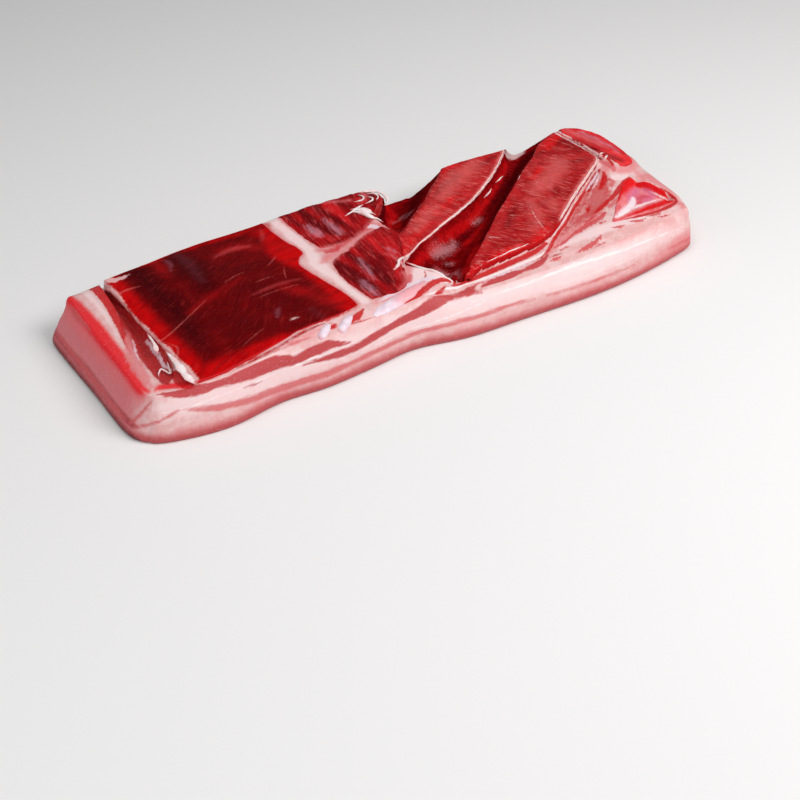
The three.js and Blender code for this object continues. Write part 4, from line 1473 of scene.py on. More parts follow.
@dataclass(frozen=True)
class Laid:
    """A part that lies in the rib side: its plan, its edges, its finish and its paint."""

    name: str
    plan: Quilt
    finish: Flesh
    strokes: Paint = ()
    cell: float = 0.9
    rise: float = 0.15
    lump: Point = (0.35, 11)
    edges: Profiles = (SUNK,) * 4
    ragged: Point = (0.5, 0.5, 0.2, 0.5)
    ragged_share: float = 0.12
    thickness: float = 3
    fibre_degrees: float = 60
    seed: int = 1

    def height(self, x: Array, y: Array) -> Array:
        """Returns the heights of the part's upper side."""
        return FORM.surface(x, y)

    def relief(self, x: Array, y: Array) -> Array:
        """Returns small heights that the part adds."""
        return np.zeros(x.shape)

    def paint(self, x: Array, y: Array, deep: Array) -> Numbers:
        """Returns the numbers that the finish reads; `deep` is the share from front to back."""
        return {key: stroke_depth(x, y, lines) for key, lines in self.strokes}

    def fibres(self, x: Array, y: Array, z: Array) -> Array:
        """Returns the coordinates along the part's fibres."""
        return turned(x, y, z, self.fibre_degrees + 5 * rumple(x / 45, y / 45, 0, self.seed + 40))

    def places(self) -> tuple[Array, Array, Array]:
        """Lays out the grid of the upper side, with its ragged edges.

        Returns:
            The x and the y of its places, and their shares from front to back.
        """
        long_side = max(self.span(self.plan.front), self.span(self.plan.back))
        short_side = max(self.span(self.plan.left), self.span(self.plan.right))
        across, deep = (np.linspace(0, 1, int(side / self.cell) + 2) for side in (long_side, short_side))
        x, y = self.plan.places(across, deep)
        u, v = np.meshgrid(across, deep, indexing="ij")
        front, right, back, left = self.ragged
        wander = rumple(x / 5, y / 5, 0, self.seed + 60)
        fade = self.ragged_share
        shift_v = front * (1 - smooth(0, fade, v)) - back * smooth(1 - fade, 1, v)
        shift_u = left * (1 - smooth(0, fade, u)) - right * smooth(1 - fade, 1, u)
        down = np.gradient(x, axis=1), np.gradient(y, axis=1)
        side = np.gradient(x, axis=0), np.gradient(y, axis=0)
        for (dx, dy), shift in ((down, shift_v), (side, shift_u)):
            run = np.hypot(dx, dy) + TINY
            x = x + dx / run * shift * (1 + wander)
            y = y + dy / run * shift * (1 + wander)
        return x, y, v

    @staticmethod
    def span(points: Line) -> float:
        """Returns the length of a smooth line in the plan."""
        fine = curve_through(points, 12 * len(points))[:, :2]
        return float(np.linalg.norm(np.diff(fine, axis=0), axis=1).sum())

    def build(self) -> Object:
        """Builds the part and dresses it.

        Returns:
            Its object.
        """
        x, y, deep = self.places()
        high, reach = self.lump
        z = self.height(x, y) + self.rise
        z = z + high * rumple(x / reach, y / reach, 0, self.seed) + self.relief(x, y)
        skirt = max(len(edge) for edge in self.edges)
        edges = tuple(lengthened(edge, skirt) for edge in self.edges)
        fall = skirted(np.stack([x, y, 0 * z], -1), edges)[..., 2]
        grid = skirted(np.stack([x, y, crowned(z)], -1), edges)
        x, y, z = np.moveaxis(grid, -1, 0)
        numbers = self.paint(x, y, np.pad(deep, skirt, "edge"))
        numbers |= {"wall": -fall, "fibre": self.fibres(x, y, z), "place": grid}
        return laid_body(grid, skirt, self.thickness, numbers).piece(self.name, self.finish)


@dataclass(frozen=True)
class BellyMuscle(Laid):
    """The wide dark muscle of the slab's plain end."""

    name: str = "belly_muscle"
    plan: Quilt = Quilt(
        front=((-181, -60), (-165, -60.5), (-149, -59.5), (-130, -58), (-112, -55), (-100, -52.5),
               (-85, -52), (-70, -51.5), (-54, -49)),
        right=((-54, -49), (-53, -34), (-55, -18), (-58, -4), (-60.5, 8), (-60.5, 17), (-56, 24),
               (-51, 28), (-50, 36), (-52, 46), (-54, 66), (-54, 80)),
        back=((-181, 79.4), (-150, 79.6), (-100, 80.6), (-54, 80)),
        left=((-181, -60), (-180.5, -20), (-180.5, 30), (-181, 79.4)),
    )
    finish: Flesh = Flesh(
        "dark_lean", (114, 2, 6), (96, 1, 5),
        tints=(
            # Painted light: brighter red along the muscle's left, right and front edges, as if lit.
            Tint("lit_rim", (198, 3, 7), 5, 0.6, 10, 0.95, 1.5, True),
            Tint("dim", (88, 2, 6), 12, 0.8, 16, 0.8, 1.5, True),
            Tint("deep", (56, 1, 5), 9, 0.7, 16, 0.9, 1.5, True),
            Tint("bright", (164, 12, 16), 6, 0.9, 9, 0.7, 2, True),
            Tint("blur", (196, 62, 66), 2.6, 0.6, 3, 0.6, 3),
            Tint("ash", (96, 36, 44), 4, 0.6, 6, 0.5, 3),
            Tint("violet", (150, 84, 98), 2, 0.8, 2, 0.4),
            Tint("hem", (196, 34, 38), 0.8, 0.3, 2, 0.85, 1, False, 0.5),
            Tint("fat", (234, 186, 184), 1, 0.7, 2.4, 0.85),
            Tint("line", (214, 96, 94), 0.7, 0.25, 2, 0.5, 2),
        ),
        fibre=(190, 46, 46), fibre_share=0.32, fibre_size=(14, 1.3), fibre_level=(0.5, 0.72),
        streak=(80, 1, 5), streak_share=0.4, streak_level=(0.42, 0.68), roughness=(0.3, 0.44),
        relief=0.14, fibre_relief=0.05, fleck_and_glint=(220, 130, 126), fleck_and_glint_share=0.08, soft=Softness(shine=0.04),
    )
    strokes: Paint = (
        ("deep", (((-158, 84, 8), (-157, 46, 8), (-157, 14, 7), (-159, -18, 5), (-160, -36, 1)),
            ((-128, 84, 8), (-126, 54, 9), (-127, 26, 6)))),
        ("dim", (((-150, 30, 6), (-140, 0, 10), (-126, -26, 9), (-116, -40, 3)),
            ((-120, 60, 8), (-108, 30, 10), (-100, 0, 9), (-92, -28, 8), (-86, -42, 3)))),
        ("bright", (((-142, 84, 1), (-142, 72, 3), (-143, 56, 1)),
            ((-100, 64, 1), (-86, 62, 4), (-74, 54, 5)), ((-150, 8, 0.5), (-130, 15, 2), (-104, 22, 1.5)),
            ((-84, -6, 3), (-72, -20, 5), (-66, -38, 5)))),
        ("blur", (((-104, 58, 1), (-90, 61, 2.6), (-78, 58, 1.6)),
            ((-106, 0, 0.2), (-88, 1, 1), (-70, -0.5, 0.2)),
            ((-66, 60, 0.5), (-62, 66, 1), (-60, 72, 0.2)))),
        ("ash", (((-126, 84, 2), (-124, 62, 4), (-127, 34, 2)), ((-82, -36, 1), (-81, -48, 1.6)))),
        ("violet", (((-106, -32, 0.6), (-103, -27, 1.6), (-100, -24, 0.4)),
            ((-138, 60, 0.4), (-134, 70, 1.4), (-136, 76, 0.4)))),
        ("fat", (((-181.6, 34, 0.4), (-181, 10, 1.1), (-181.4, -6, 0.9), (-180.6, -20, 1.5),
             (-181, -34, 1.2), (-180.2, -46, 2), (-180.4, -58, 1.6)),
            ((-180, 84, 3.4), (-176, 76, 3), (-170, 74, 2), (-163, 75, 0.3)),
            ((-181, 72, 1), (-180, 58, 1.2), (-180.5, 44, 0.2)),
            ((-100.5, -40, 0.2), (-98, -39.6, 0.9), (-95, -40, 0.2)))),
        ("line", (((-181, 57, 0.6), (-172, 58.5, 1), (-163, 57, 0.1)),
            ((-181, -8, 0.5), (-170, -4, 0.6), (-152, 5, 0.4), (-136, 13, 0.2)),
            ((-98, 12, 0.1), (-90, 12, 0.4), (-84, 11, 0.1)),
            ((-106, -5, 0.1), (-90, -5, 0.3), (-74, -5.6, 0.1)),
            ((-80, 26, 0.1), (-74, 30, 0.5), (-69, 34, 0.1)),
            ((-116, 24, 0.1), (-106, 27, 0.4), (-98, 28, 0.1)),
            ((-178, -14, 0.2), (-175, -22, 0.6), (-180, -32, 0.3)),
            ((-140, -46, 0.1), (-128, -41, 0.3), (-120, -38, 0.1)),
            ((-78, 4, 0.1), (-76, 10, 0.4), (-72, 18, 0.1)))),
    )
    cell: float = 1
    lump: Point = (0.4, 18)
    ragged: Point = (0.5, 0.6, 0.1, 0.4)
    seed: int = 3

    def fibres(self, x: Array, y: Array, z: Array) -> Array:
        """Returns the coordinates along the fibres, which fan out from the left edge."""
        degrees = mix(26, 4, smooth(-130, -70, x)) + 16 * smooth(10, 70, y) * smooth(-150, -90, x)
        return turned(x, y, z, degrees + 5 * rumple(x / 40, y / 40, 0, 43))

    def paint(self, x: Array, y: Array, deep: Array) -> Numbers:
        """The numbers that the finish reads, with the muscle's painted lit rim, hem and fat edge.

        Args:
            x: Places along the slab.
            y: Places across it.
            deep: Shares from front to back; not used.

        Returns:
            The numbers.
        """
        painted = super().paint(x, y, deep)
        right = x + 63 + 9 * bell(y - 36, 22) + 3 * bell(y + 40, 14)
        front = -52 - y + 0.07 * (-100 - x) - 4 * smooth(-120, -90, x)
        return painted | {
            # Painted lit rim along the left, right and front edges.
            "lit_rim": np.maximum.reduce([-170 - x, right * (1 - smooth(62, 78, y)), front]),
            "hem": -loop_depth(x, y, self.plan.outline()),
            "fat": np.maximum(painted["fat"], -181.6 - x + 1.8 * smooth(24, 60, y)),
        }


@dataclass(frozen=True)
class RibMuscle(Laid):
    """A short fibrous muscle between two ribs."""

    finish: Flesh = Flesh(
        "rib_lean", (172, 14, 20), (150, 6, 13),
        tints=(
            Tint("deep", (92, 1, 8), 3, 1.2, 3, 0.9, 6, True),
            Tint("bright", (206, 24, 30), 3, 1.2, 3.4, 0.85, 6, True),
            Tint("pale", (206, 152, 170), 3.2, 1.8, 1.8, 0.5, 5),
            Tint("fat", (214, 106, 110), 3, 1.2, 2, 0.85, 5),
            Tint("wall", (200, 66, 70), 0.3, 0.03, 2, 0.8, 2, False, -0.38),
        ),
        fibre=(228, 88, 90), fibre_share=0.5, fibre_size=(20, 1.7), fibre_level=(0.48, 0.7),
        streak=(92, 1, 8), streak_share=0.75, streak_level=(0.42, 0.64), roughness=(0.32, 0.48),
        relief=0.12, fleck_and_glint_share=0.1,
    )
    cell: float = 0.8
    ragged: Point = (1.2, 0.9, 0.9, 1.2)
    edges: Profiles = (FLAT,) * 4
    lump: Point = (0.5, 8)
    fibre_degrees: float = 82

    def relief(self, x: Array, y: Array) -> Array:
        """Returns the heights of the fibre bundles."""
        bundles = turned(x, y, 0, self.fibre_degrees)
        return 0.3 * rumple(bundles[..., 0] / 16, bundles[..., 1] / 1.6, 0, self.seed + 5)


BACK_RIB_MUSCLE = RibMuscle(
    name="back_rib_muscle",
    plan=Quilt(
        front=((-37, 27), (-20, 24), (-5, 27), (8, 34), (17, 42)),
        right=((17, 42), (19, 50), (29, 56.5), (36, 61), (39, 68), (37, 79.4)),
        back=((-39, 79.6), (-10, 80), (15, 80), (37, 79.4)),
        left=((-37, 27), (-39, 50), (-39, 79.6)),
    ),
    seed=9,
    strokes=(
        ("deep", (((-24, 84, 2), (-22, 66, 4), (-20, 46, 3), (-18, 36, 1)),
            ((-12, 80, 2), (-8, 60, 3), (-6, 44, 2)), ((6, 76, 2), (10, 64, 2)),
            ((-34, 84, 1), (-34, 62, 2)), ((6, 54, 0.6), (13, 50, 1.6), (17, 45, 3), (18, 38, 2)))),
        ("bright", (((-2, 84, 2), (0, 60, 4), (0, 44, 3)), ((16, 80, 3), (22, 66, 3)),
            ((-30, 44, 2), (-24, 34, 4)))),
        ("pale", (((-29, 58, 1), (-29, 50, 3.4), (-28, 42, 2)),
            ((-14, 60, 0.6), (-14, 48, 2), (-15, 36, 1.6)))),
        ("fat", (((-37, 25.6, 2.4), (-20, 22, 3), (-6, 24.6, 3.2), (7, 31.4, 3), (16, 39, 2.4)),
            ((-2, 80, 0.3), (6, 76, 1.4), (16, 72, 1)), ((22, 66, 0.4), (28, 70, 1.6), (31, 78, 1)))),
    ),
)
FRONT_RIB_MUSCLE = RibMuscle(
    name="front_rib_muscle",
    plan=Quilt(
        front=((-42, -48), (-30, -49), (-15, -47), (-7, -38), (-5, -24)),
        right=((-5, -24), (3.4, -17), (8.6, -10), (14.6, 1), (19, 13), (19, 21), (15, 28)),
        back=((-41, 3), (-37, 8), (-27, 12), (-17, 16), (-7, 21.4), (4, 26), (15, 28)),
        left=((-42, -48), (-44, -30), (-44, -14), (-41, 3)),
    ),
    seed=14, fibre_degrees=81,
    strokes=(
        ("deep", (((-38, 2, 2), (-36, -16, 5), (-34, -36, 5)), ((-26, 8, 2), (-22, -14, 4), (-19, -36, 3)),
            ((-12, 6, 1), (-9, -16, 2)))),
        ("bright", (((-4, 20, 4), (0, 4, 5), (2, -10, 4)), ((-12, -30, 3), (-8, -14, 2)),
            ((10, 12, 3), (8, -4, 3)))),
        ("pale", (((-36, -26, 0.6), (-36.5, -36, 2), (-37, -44, 1.4)),
            ((-23, -2, 0.2), (-25, -16, 1), (-27, -28, 0.6)), ((2, 0, 0.6), (3, -4, 1), (3, -8, 0.3)))),
        ("fat", (((-41, 6, 1.4), (-28, 14, 2), (-17, 18.6, 2.4), (-7, 24, 2.6), (6, 29, 2.4)),
            ((-20, -48, 0.2), (-10, -42, 1.6), (-5, -32, 2)),
            ((-2, -6, 0.1), (0, -14, 0.8), (-1, -20, 0.3)))),
    ),
)
END_MUSCLE = RibMuscle(
    name="end_muscle",
    plan=Quilt(
        front=((222, 6), (229, 4), (235, 6)),
        right=((235, 6), (239.5, 28), (240, 45), (237.5, 60), (230, 72), (222, 78)),
        back=((218.6, 77.5), (222, 78)),
        left=((222, 6), (220.6, 25), (219.4, 60), (218.6, 77.5)),
    ),
    finish=replace(
        RibMuscle.finish, name="end_lean", ground=(240, 66, 70), other_ground=(224, 40, 46),
        streak_share=0.25),
    cell=0.7, fibre_degrees=96, seed=33,
    strokes=(
        ("deep", (((220, 60, 1), (221, 40, 1.6), (224, 20, 2), (227, 10, 1)),)),
        ("bright", (((221, 74, 2), (225, 50, 2), (230, 30, 3)),
            ((232, 60, 3), (237, 40, 3), (236, 20, 2)))),
        ("pale", (((229, 66, 0.6), (233, 50, 1.6), (235, 34, 1), (233, 22, 0.4)),)),
        ("fat", (((222.5, 75, 0.8), (225.5, 63, 1.6), (229, 47, 1.4), (231, 32, 0.4)),)),
    ),
)


@dataclass(frozen=True)
class MuscleLeaf(Laid):
    """A leaf of muscle between a crest and a lip, with fibres across it."""

    finish: Flesh = Flesh(
        "leaf_lean", (202, 42, 46), (178, 22, 27),
        tints=(
            Tint("deep", (116, 2, 8), 4, 1.2, 5, 0.85, 2, True),
            Tint("bright", (216, 14, 20), 3, 1, 5, 0.85, 2, True),
            Tint("pale", (232, 112, 110), 6, 2.4, 2.6, 0.42, 2),
            Tint("fringe", (238, 140, 138), 2, 1.3, 1.2, 0.5, 6),
            Tint("fat", (248, 220, 216), 0.5, 0.3, 1.6, 0.85, 3),
            Tint("wall", (186, 16, 22), 0.3, 0.08, 3, 0.97, 2, False, -0.5),
        ),
        fibre=(240, 136, 132), fibre_share=0.6, fibre_size=(11, 1), fibre_level=(0.5, 0.68),
        streak=(152, 8, 13), streak_share=0.6, streak_level=(0.46, 0.64), roughness=(0.32, 0.48),
        relief=0.12, fibre_relief=0.14, fleck_and_glint=(246, 190, 186), fleck_and_glint_share=0.2, mottle=10,
    )
    cell: float = 0.8
    lump: Point = (0.45, 10)
    edges: Profiles = (STEEP, SUNK, SUNK, SUNK)
    ragged: Point = (0.5, 0.2, 0.2, 0.3)

    def fibres(self, x: Array, y: Array, z: Array) -> Array:
        """Returns the coordinates along the leaf's fibres."""
        degrees = mix(86, 119, smooth(0, 75, x)) + 4 * rumple(x / 40, y / 40, 0, self.seed)
        return turned(x, y, z, degrees)


@dataclass(frozen=True)
class NearLeaf(MuscleLeaf):
    """The leaf between the two valleys, which stays level up to its lip."""

    name: str = "near_leaf"
    plan: Quilt = Quilt(
        front=NEAR_LIP,
        right=((163, 77), (140, 78.5), (120, 79), (103, 78)),
        back=BACK_CREST,
        left=((-5, -24), (1, -16), (6, -9), (12, 2), (16, 14)),
    )
    strokes: Paint = (
        ("deep", (((72, 44, 1), (88, 54, 3), (104, 60, 3)), ((134, 66, 2), (148, 72, 2)))),
        ("bright", (((8, -10, 2), (26, 2, 3), (50, 14, 2)), ((60, 24, 2), (84, 36, 3)),
            ((98, 72, 2), (112, 76, 3)))),
        ("pale", (((76, 40, 4), (100, 56, 8), (130, 70, 6)), ((34, 12, 3), (52, 24, 4), (66, 32, 3)))),
    )
    seed: int = 21

    def height(self, x: Array, y: Array) -> Array:
        """Returns the heights of the leaf."""
        return FORM.base(x, y)

    def paint(self, x: Array, y: Array, deep: Array) -> Numbers:
        """The numbers that the finish reads, with painted shade along the leaf's crest, and its lip.

        Args:
            x: Places along the slab.
            y: Places across it.
            deep: Shares from front to back.

        Returns:
            The numbers.
        """
        painted = super().paint(x, y, deep)
        return painted | {
            # Painted shade: darker towards the crest, so the leaf runs on into the valley's shaded slope.
            "deep": np.maximum((deep - 0.95) * 60, painted["deep"]),
            "bright": np.maximum(painted["bright"], (0.012 - deep) * 200),
            "fringe": (0.04 - deep) * 50,
            "fat": (0.006 - deep) * 60,
        }


@dataclass(frozen=True)
class FarLeaf(MuscleLeaf):
    """The leaf beyond the front valley, whose near end hangs over the front shelf."""

    name: str = "far_leaf"
    plan: Quilt = Quilt(
        front=FAR_LIP,
        right=((213, 24), (214, 50), (212, 76)),
        back=FAR_CREST,
        left=((33, -57), (31, -56)),
    )
    finish: Flesh = replace(
        MuscleLeaf.finish, name="far_leaf_lean", ground=(188, 34, 38), other_ground=(164, 16, 21))
    strokes: Paint = (
        ("deep", (((176, 52, 1), (192, 58, 3), (206, 62, 5)), ((208, 40, 2), (210, 60, 4)),
            ((186, 32, 1), (200, 26, 2)), ((148, -6, 1), (158, 4, 2)),
            ((92, -20, 1), (104, -10, 3), (112, -2, 2)))),
        ("bright", (((34, -57, 3), (66, -51, 6), (96, -48, 5), (118, -36, 2)), ((190, 58, 4), (208, 70, 4)),
            ((150, 24, 2), (166, 34, 3)))),
        ("pale", (((140, 10, 5), (160, 16, 8), (186, 34, 7)), ((136, -20, 3), (142, -10, 4)),
            ((106, -36, 2), (120, -20, 4), (130, 0, 3)))),
        ("fat", (((112, -44, -0.2), (114, -34, 0), (119, -18, 0), (127, -2, -0.2)),
            ((142, 18, -0.2), (152, 16, 0), (162, 14, -0.2)),
            ((72, -24, 0.1), (75, -26, 0.4), (79, -30, 0.1)))),
    )
    edges: Profiles = (HANGING, SUNK, SUNK, SUNK)
    thickness: float = 4
    seed: int = 28

    def height(self, x: Array, y: Array) -> Array:
        """Returns the heights of the leaf."""
        return FORM.leaf(x, y)

    def paint(self, x: Array, y: Array, deep: Array) -> Numbers:
        """The numbers that the finish reads, with the leaf's lip.

        Args:
            x: Places along the slab.
            y: Places across it.
            deep: Shares from front to back.

        Returns:
            The numbers.
        """
        painted = super().paint(x, y, deep)
        lip = (0.008 - deep) * 60 - 3 * (1 - smooth(116, 136, x))
        return painted | {
            "fat": np.maximum(painted["fat"], lip),
            "fringe": (0.05 - deep) * 50 - 9 * (1 - smooth(110, 140, x)),
        }


@dataclass(frozen=True)
class ValleyBed(Laid):
    """The floor and the walls of a valley."""

    finish: Flesh = Flesh(
        "valley_lean", (140, 6, 10), (112, 2, 7),
        tints=(
            Tint("bright", (184, 12, 16), 1.8, 0.7, 4, 0.9, 2.5, True),
            # Near-black red laid under the fibres: painted shade on the valley floors, on the slopes under
            # the crests and in the hole beside the torn curl.
            Tint("deep", (66, 1, 5), 3.6, 0.8, 6, 0.85, 2, True),
            Tint("pale", (204, 136, 142), 3, 3, 0.9, 0.6, 1.4),
            Tint("fat", (206, 176, 176), 1.2, 0.9, 2, 0.85, 2),
        ),
        fibre=(192, 46, 48), fibre_share=0.4, fibre_size=(10, 1.2), fibre_level=(0.5, 0.7),
        streak=(76, 1, 5), streak_share=0.45, streak_level=(0.44, 0.66), roughness=(0.5, 0.7),
        relief=0.2, fibre_relief=0.15, fleck_and_glint=(220, 130, 130), fleck_and_glint_share=0.1,
        soft=Softness(weight=0.06, shine=0, wet=0),
    )
    rise: float = 0.05
    lump: Point = (0.6, 5)
    thickness: float = 2
    ragged: Point = (0.2, 0.2, 0.2, 0.2)
    fibre_degrees: float = 118
    edges: Profiles = (EVEN,) * 4


BACK_BED = ValleyBed(
    name="back_valley",
    plan=Quilt(
        front=((20, 13), (24, 13.6)),
        right=BACK_CREST[1:],
        back=((40, 79), (70, 79), (103, 78)),
        left=((20, 13), (18.4, 30), (18.4, 44), (21, 52), (34, 56.6), (40, 66), (40, 79)),
    ),
    seed=71,
    strokes=(
        ("bright", (((50, 79, 4), (44, 60, 6), (36, 40, 4), (28, 24, 2)),)),
        # The darker strokes are painted shade: in the hole beside the torn curl and on the slope under the
        # crest.
        ("deep", (((20, 40, 2), (26, 50, 3), (38, 60, 3)),
            ((84, 79, 6), (66, 58, 5), (44, 38, 3), (28, 22, 1)))),
        ("pale", (((42, 52, 0.4), (46, 50, 1.2), (50, 52, 0.4)),
            ((24, 46, 0.6), (24, 34, 1.8), (22, 22, 1)), ((48, 44, 0.2), (52, 46, 0.6)))),
        ("fat", (((21, 48, 0.3), (21.5, 38, 0.8), (20.5, 28, 0.3)),)),
    ),
)
FRONT_BED = ValleyBed(
    name="front_valley",
    plan=Quilt(
        front=FAR_CREST,
        right=((212, 76), (190, 78.6), (163, 77)),
        back=((3, -20), *NEAR_LIP[4:]),
        left=((31, -56), (22, -54), (12, -39), (3, -20)),
    ),
    seed=77,
    strokes=(
        ("bright", (((12, -19, 1.4), (26, -11.4, 2.4), (53, 2.4, 2.8), (81, 14.6, 2.8), (108, 29.4, 2.4),
             (140, 51.4, 2), (158, 68, 1.4)), ((34, -50, 3), (50, -37, 4), (62, -26, 2)),
            ((66, -8, 3), (84, 4, 3), (104, 20, 2)))),
        # The darker strokes are painted shade: on the floor below the near lip, on the slope under the far
        # crest and under the flap's edge.
        ("deep", (
            ((24, -20, 0.4), (53, -6, 1.4), (81, 6, 2.4), (108, 22, 2.6), (140, 45, 2.4), (156, 60, 1)),
            ((60, -30, 1), (90, -6, 4), (120, 18, 6), (150, 42, 7), (180, 66, 6)),
            ((38, -26, 3), (40, -20, 3)), ((8, -30, 0.5), (14, -36, 1.4), (20, -44, 1)))),
        ("pale", (((34, -10, 1), (44, -7, 4), (54, -5, 2.6), (60, 0, 0.6)),
            ((30, -22, 0.4), (31, -30, 1), (34, -34, 0.4)), ((88, 14, 0.3), (92, 14.5, 1), (96, 17, 0.3)),
            ((40, -20, 0.2), (42, -22, 0.6)), ((12, -24, 0.4), (20, -24, 1.2), (26, -30, 0.6)),
            ((27, -50, 0.4), (31, -42, 1.8), (36, -36, 0.4)))),
        ("fat", (((163, 74, 1.4), (170, 76.4, 3.6), (180, 79, 4)),
            ((6, -24, 0.6), (14, -38, 0.8), (21, -50, 0.8)))),
    ),
)


@dataclass(frozen=True)
class HollowLining(Laid):
    """The three-cornered hollow near the folded end's front corner."""

    name: str = "hollow_lining"
    plan: Quilt = Quilt(
        front=((163, -55.5), (182, -57.5), (198, -59), (212, -58.5), (222, -55.5)),
        right=((222, -55.5), (226.5, -41), (226.5, -25), (219, -10)),
        back=((163, -54.5), (171, -48), (182, -37), (199, -22), (210, -12), (219, -10)),
        left=((163, -55.5), (163, -54.5)),
    )
    finish: Flesh = Flesh(
        "hollow_lean", (222, 92, 98), (232, 130, 136),
        tints=(
            Tint("lilac", (220, 118, 148), 2.4, 0.9, 4, 0.9, 2),
            Tint("rose", (206, 50, 84), 3, 0.7, 4, 0.8, 2),
            Tint("white", (249, 232, 238), 1.4, 0.5, 2.6, 0.95, 3),
            Tint("bright", (224, 14, 20), 1.6, 0.6, 3, 0.96, 3),
            Tint("shine", (252, 240, 240), 0.5, 0.3, 2, 0.9, 3),
        ),
        fibre=(240, 190, 190), fibre_share=0.5, fibre_size=(8, 0.8),
        roughness=(0.28, 0.44), relief=0.25, soft=Softness(weight=0.15, wet=0.15),
    )
    strokes: Paint = (
        ("white", (
            ((168, -51.5, 0.3), (178, -46.5, 1.4), (190, -41, 2.8), (199, -35.5, 2.8), (206, -29, 1.2)),
            ((188, -42.5, 1), (204, -41.5, 1.3), (218, -41.5, 0.8), (223, -44, 0.3)))),
        ("lilac", (((198, -34, 2), (206, -28, 4.4), (216, -20, 3)),
            ((210, -38, 3), (220, -34, 3), (221, -24, 2)))),
        ("rose", (((205, -36, 1), (211, -32, 3.2), (216, -34, 1.6)),)),
        ("bright", (((165, -55, 0.6), (178, -53, 2), (190, -51.6, 4), (206, -51, 5.6), (224, -51, 6)),
            ((225.6, -51, 4), (226, -38, 4), (225, -24, 4), (220, -12, 4)),
            ((219, -12, 4), (209, -16, 4), (199, -22, 3.4), (189, -30, 2), (180, -36, 0.6)))),
        ("shine", (((168, -52, 0.2), (180, -46.5, 0.6), (190, -42.5, 0.5)),
            ((221, -30, 0.1), (223.5, -42, 0.5), (224, -48, 0.2)))),
    )
    cell: float = 0.7
    rise: float = 0.25
    lump: Point = (0.5, 7)
    fibre_degrees: float = 28
    seed: int = 37


# ---- cartilage, lips and shreds

CARTILAGE_FINISH = Flesh(
    "rib_cartilage", (228, 204, 218), (240, 224, 234),
    tints=(
        Tint("far", (240, 168, 174), 9, 0.8, 8, 0.92),
        Tint("end", (226, 150, 154), 2, 0.8, 3, 0.7),
    ),
    fibre=(248, 240, 246), fibre_share=0.3, fibre_size=(6, 1.2), roughness=(0.26, 0.4),
    relief=0.1, fibre_relief=0, mottle=6,
    soft=Softness(0.3, (0.8, 0.5, 0.5), shine=0.2, wet=0.2, wet_roughness=0.15),
)
SILVER_SKIN = Flesh(
    "silver_skin", (254, 242, 242), (246, 212, 212),
    tints=(
        Tint("end", (214, 90, 90), 1.2, 1, 2, 0.8),
        Tint("end", (226, 128, 130), 1.2, 2.4, 1.8, 0.6, 1, False, 0.6),
    ),
    fibre=(255, 246, 244), fibre_share=0.5, fibre_size=(5, 0.6), mottle=6, roughness=(0.24, 0.42),
    soft=Softness(weight=0.2, shine=0.2, wet=0.3, wet_roughness=0.14),
)
# The rolled edge's finish; its near-black ends are painted shade, for the hole that they lie in.
RAW_EDGE = Flesh(
    "raw_edge", (146, 10, 15), (108, 4, 9), tints=(Tint("end", (74, 2, 8), 1.6, 0.6, 2, 0.96),),
    fibre=(214, 96, 94), fibre_share=0.5, fibre_size=(6, 0.6), mottle=6, roughness=(0.28, 0.46),
)


@dataclass(frozen=True)
class Spindle:
    """A rounded rod that swells in the middle."""

    name: str
    ends: Line
    half_width: float
    half_height: float
    finish: Flesh
    slot: Slot = Slot.MEAT
    rough: float = 0.25
    seed: int = 5
    girth_power: float = 0.62
    cells: tuple[int, int] = (72, 40)

    def body(self) -> Body:
        """Builds the rod.

        Returns:
            Its closed mesh.
        """
        start, end = (np.array(point) for point in self.ends)
        length = np.linalg.norm(end - start)
        axis = (end - start) / length
        sideways = np.array([-axis[1], axis[0], 0]) / np.hypot(axis[0], axis[1])
        upward = np.cross(axis, sideways)
        rows, columns = self.cells
        turn = math.pi * (np.arange(rows) + 0.35) / (rows - 0.3)
        way = (1 - np.cos(turn)) / 2
        girth = np.sin(turn) ** self.girth_power
        around = 2 * math.pi * np.arange(columns) / columns
        w, r = np.meshgrid(way * length, around, indexing="ij")
        bumps = rumple(w / 4, np.cos(r) * 1.2, np.sin(r) * 1.2, self.seed)
        swell = 1 + self.rough * bumps - self.rough * 0.4
        swell *= girth[:, None]
        places = (
            start + w[..., None] * axis
            + (self.half_width * swell * np.cos(r))[..., None] * sideways
            + (self.half_height * swell * np.sin(r))[..., None] * upward
        ).reshape(-1, 3)
        # The wall fills most of the map, and the two ends are small circles under it.
        i, j = np.meshgrid(np.arange(rows - 1), np.arange(columns), indexing="ij")
        i, j = i.ravel()[:, None], j.ravel()[:, None]
        spots = np.stack([0.01 + 0.98 * (i + np.array([0, 0, 1, 1])) / (rows - 1),
                          0.06 + 0.93 * (j + np.array([0, 1, 1, 0])) / columns], -1)
        circle = np.stack([0.02 * np.cos(around), 0.02 * np.sin(around)], -1)
        maps = [spots, circle[::-1][None] + (0.03, 0.03), circle[None] + (0.9, 0.03)]
        numbers = {
            "place": places, "fibre": np.stack([w, r * self.half_width, 0 * w], -1).reshape(-1, 3),
            "end": (2.2 - np.minimum(w, length - w)).ravel(), "far": (w - 26).ravel(),
        }
        return Body(places, tube_faces(rows, columns), numbers, maps)

    def build(self) -> Object:
        """Returns the rod's object."""
        return self.body().piece(self.name, self.finish, self.slot)


@dataclass(frozen=True)
class Cartilage:
    """One cut rib cartilage, set into the front edge."""

    node: str
    ends: Line
    half_width: float
    half_height: float
    proud: float

    def build(self) -> Object:
        """Builds the cartilage, which stands for its node.

        Returns:
            Its object.
        """
        ends = tuple(
            (x, y, float(FORM.base(np.array([x]), np.array([y]))[0]) + self.proud - self.half_height)
            for x, y in self.ends)
        rod = Spindle(
            f"{self.node}_rod", ends, self.half_width, self.half_height, CARTILAGE_FINISH,
            Slot.CARTILAGE, rough=0.09, seed=len(self.node))
        made = rod.build()
        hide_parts(self.node)
        return made


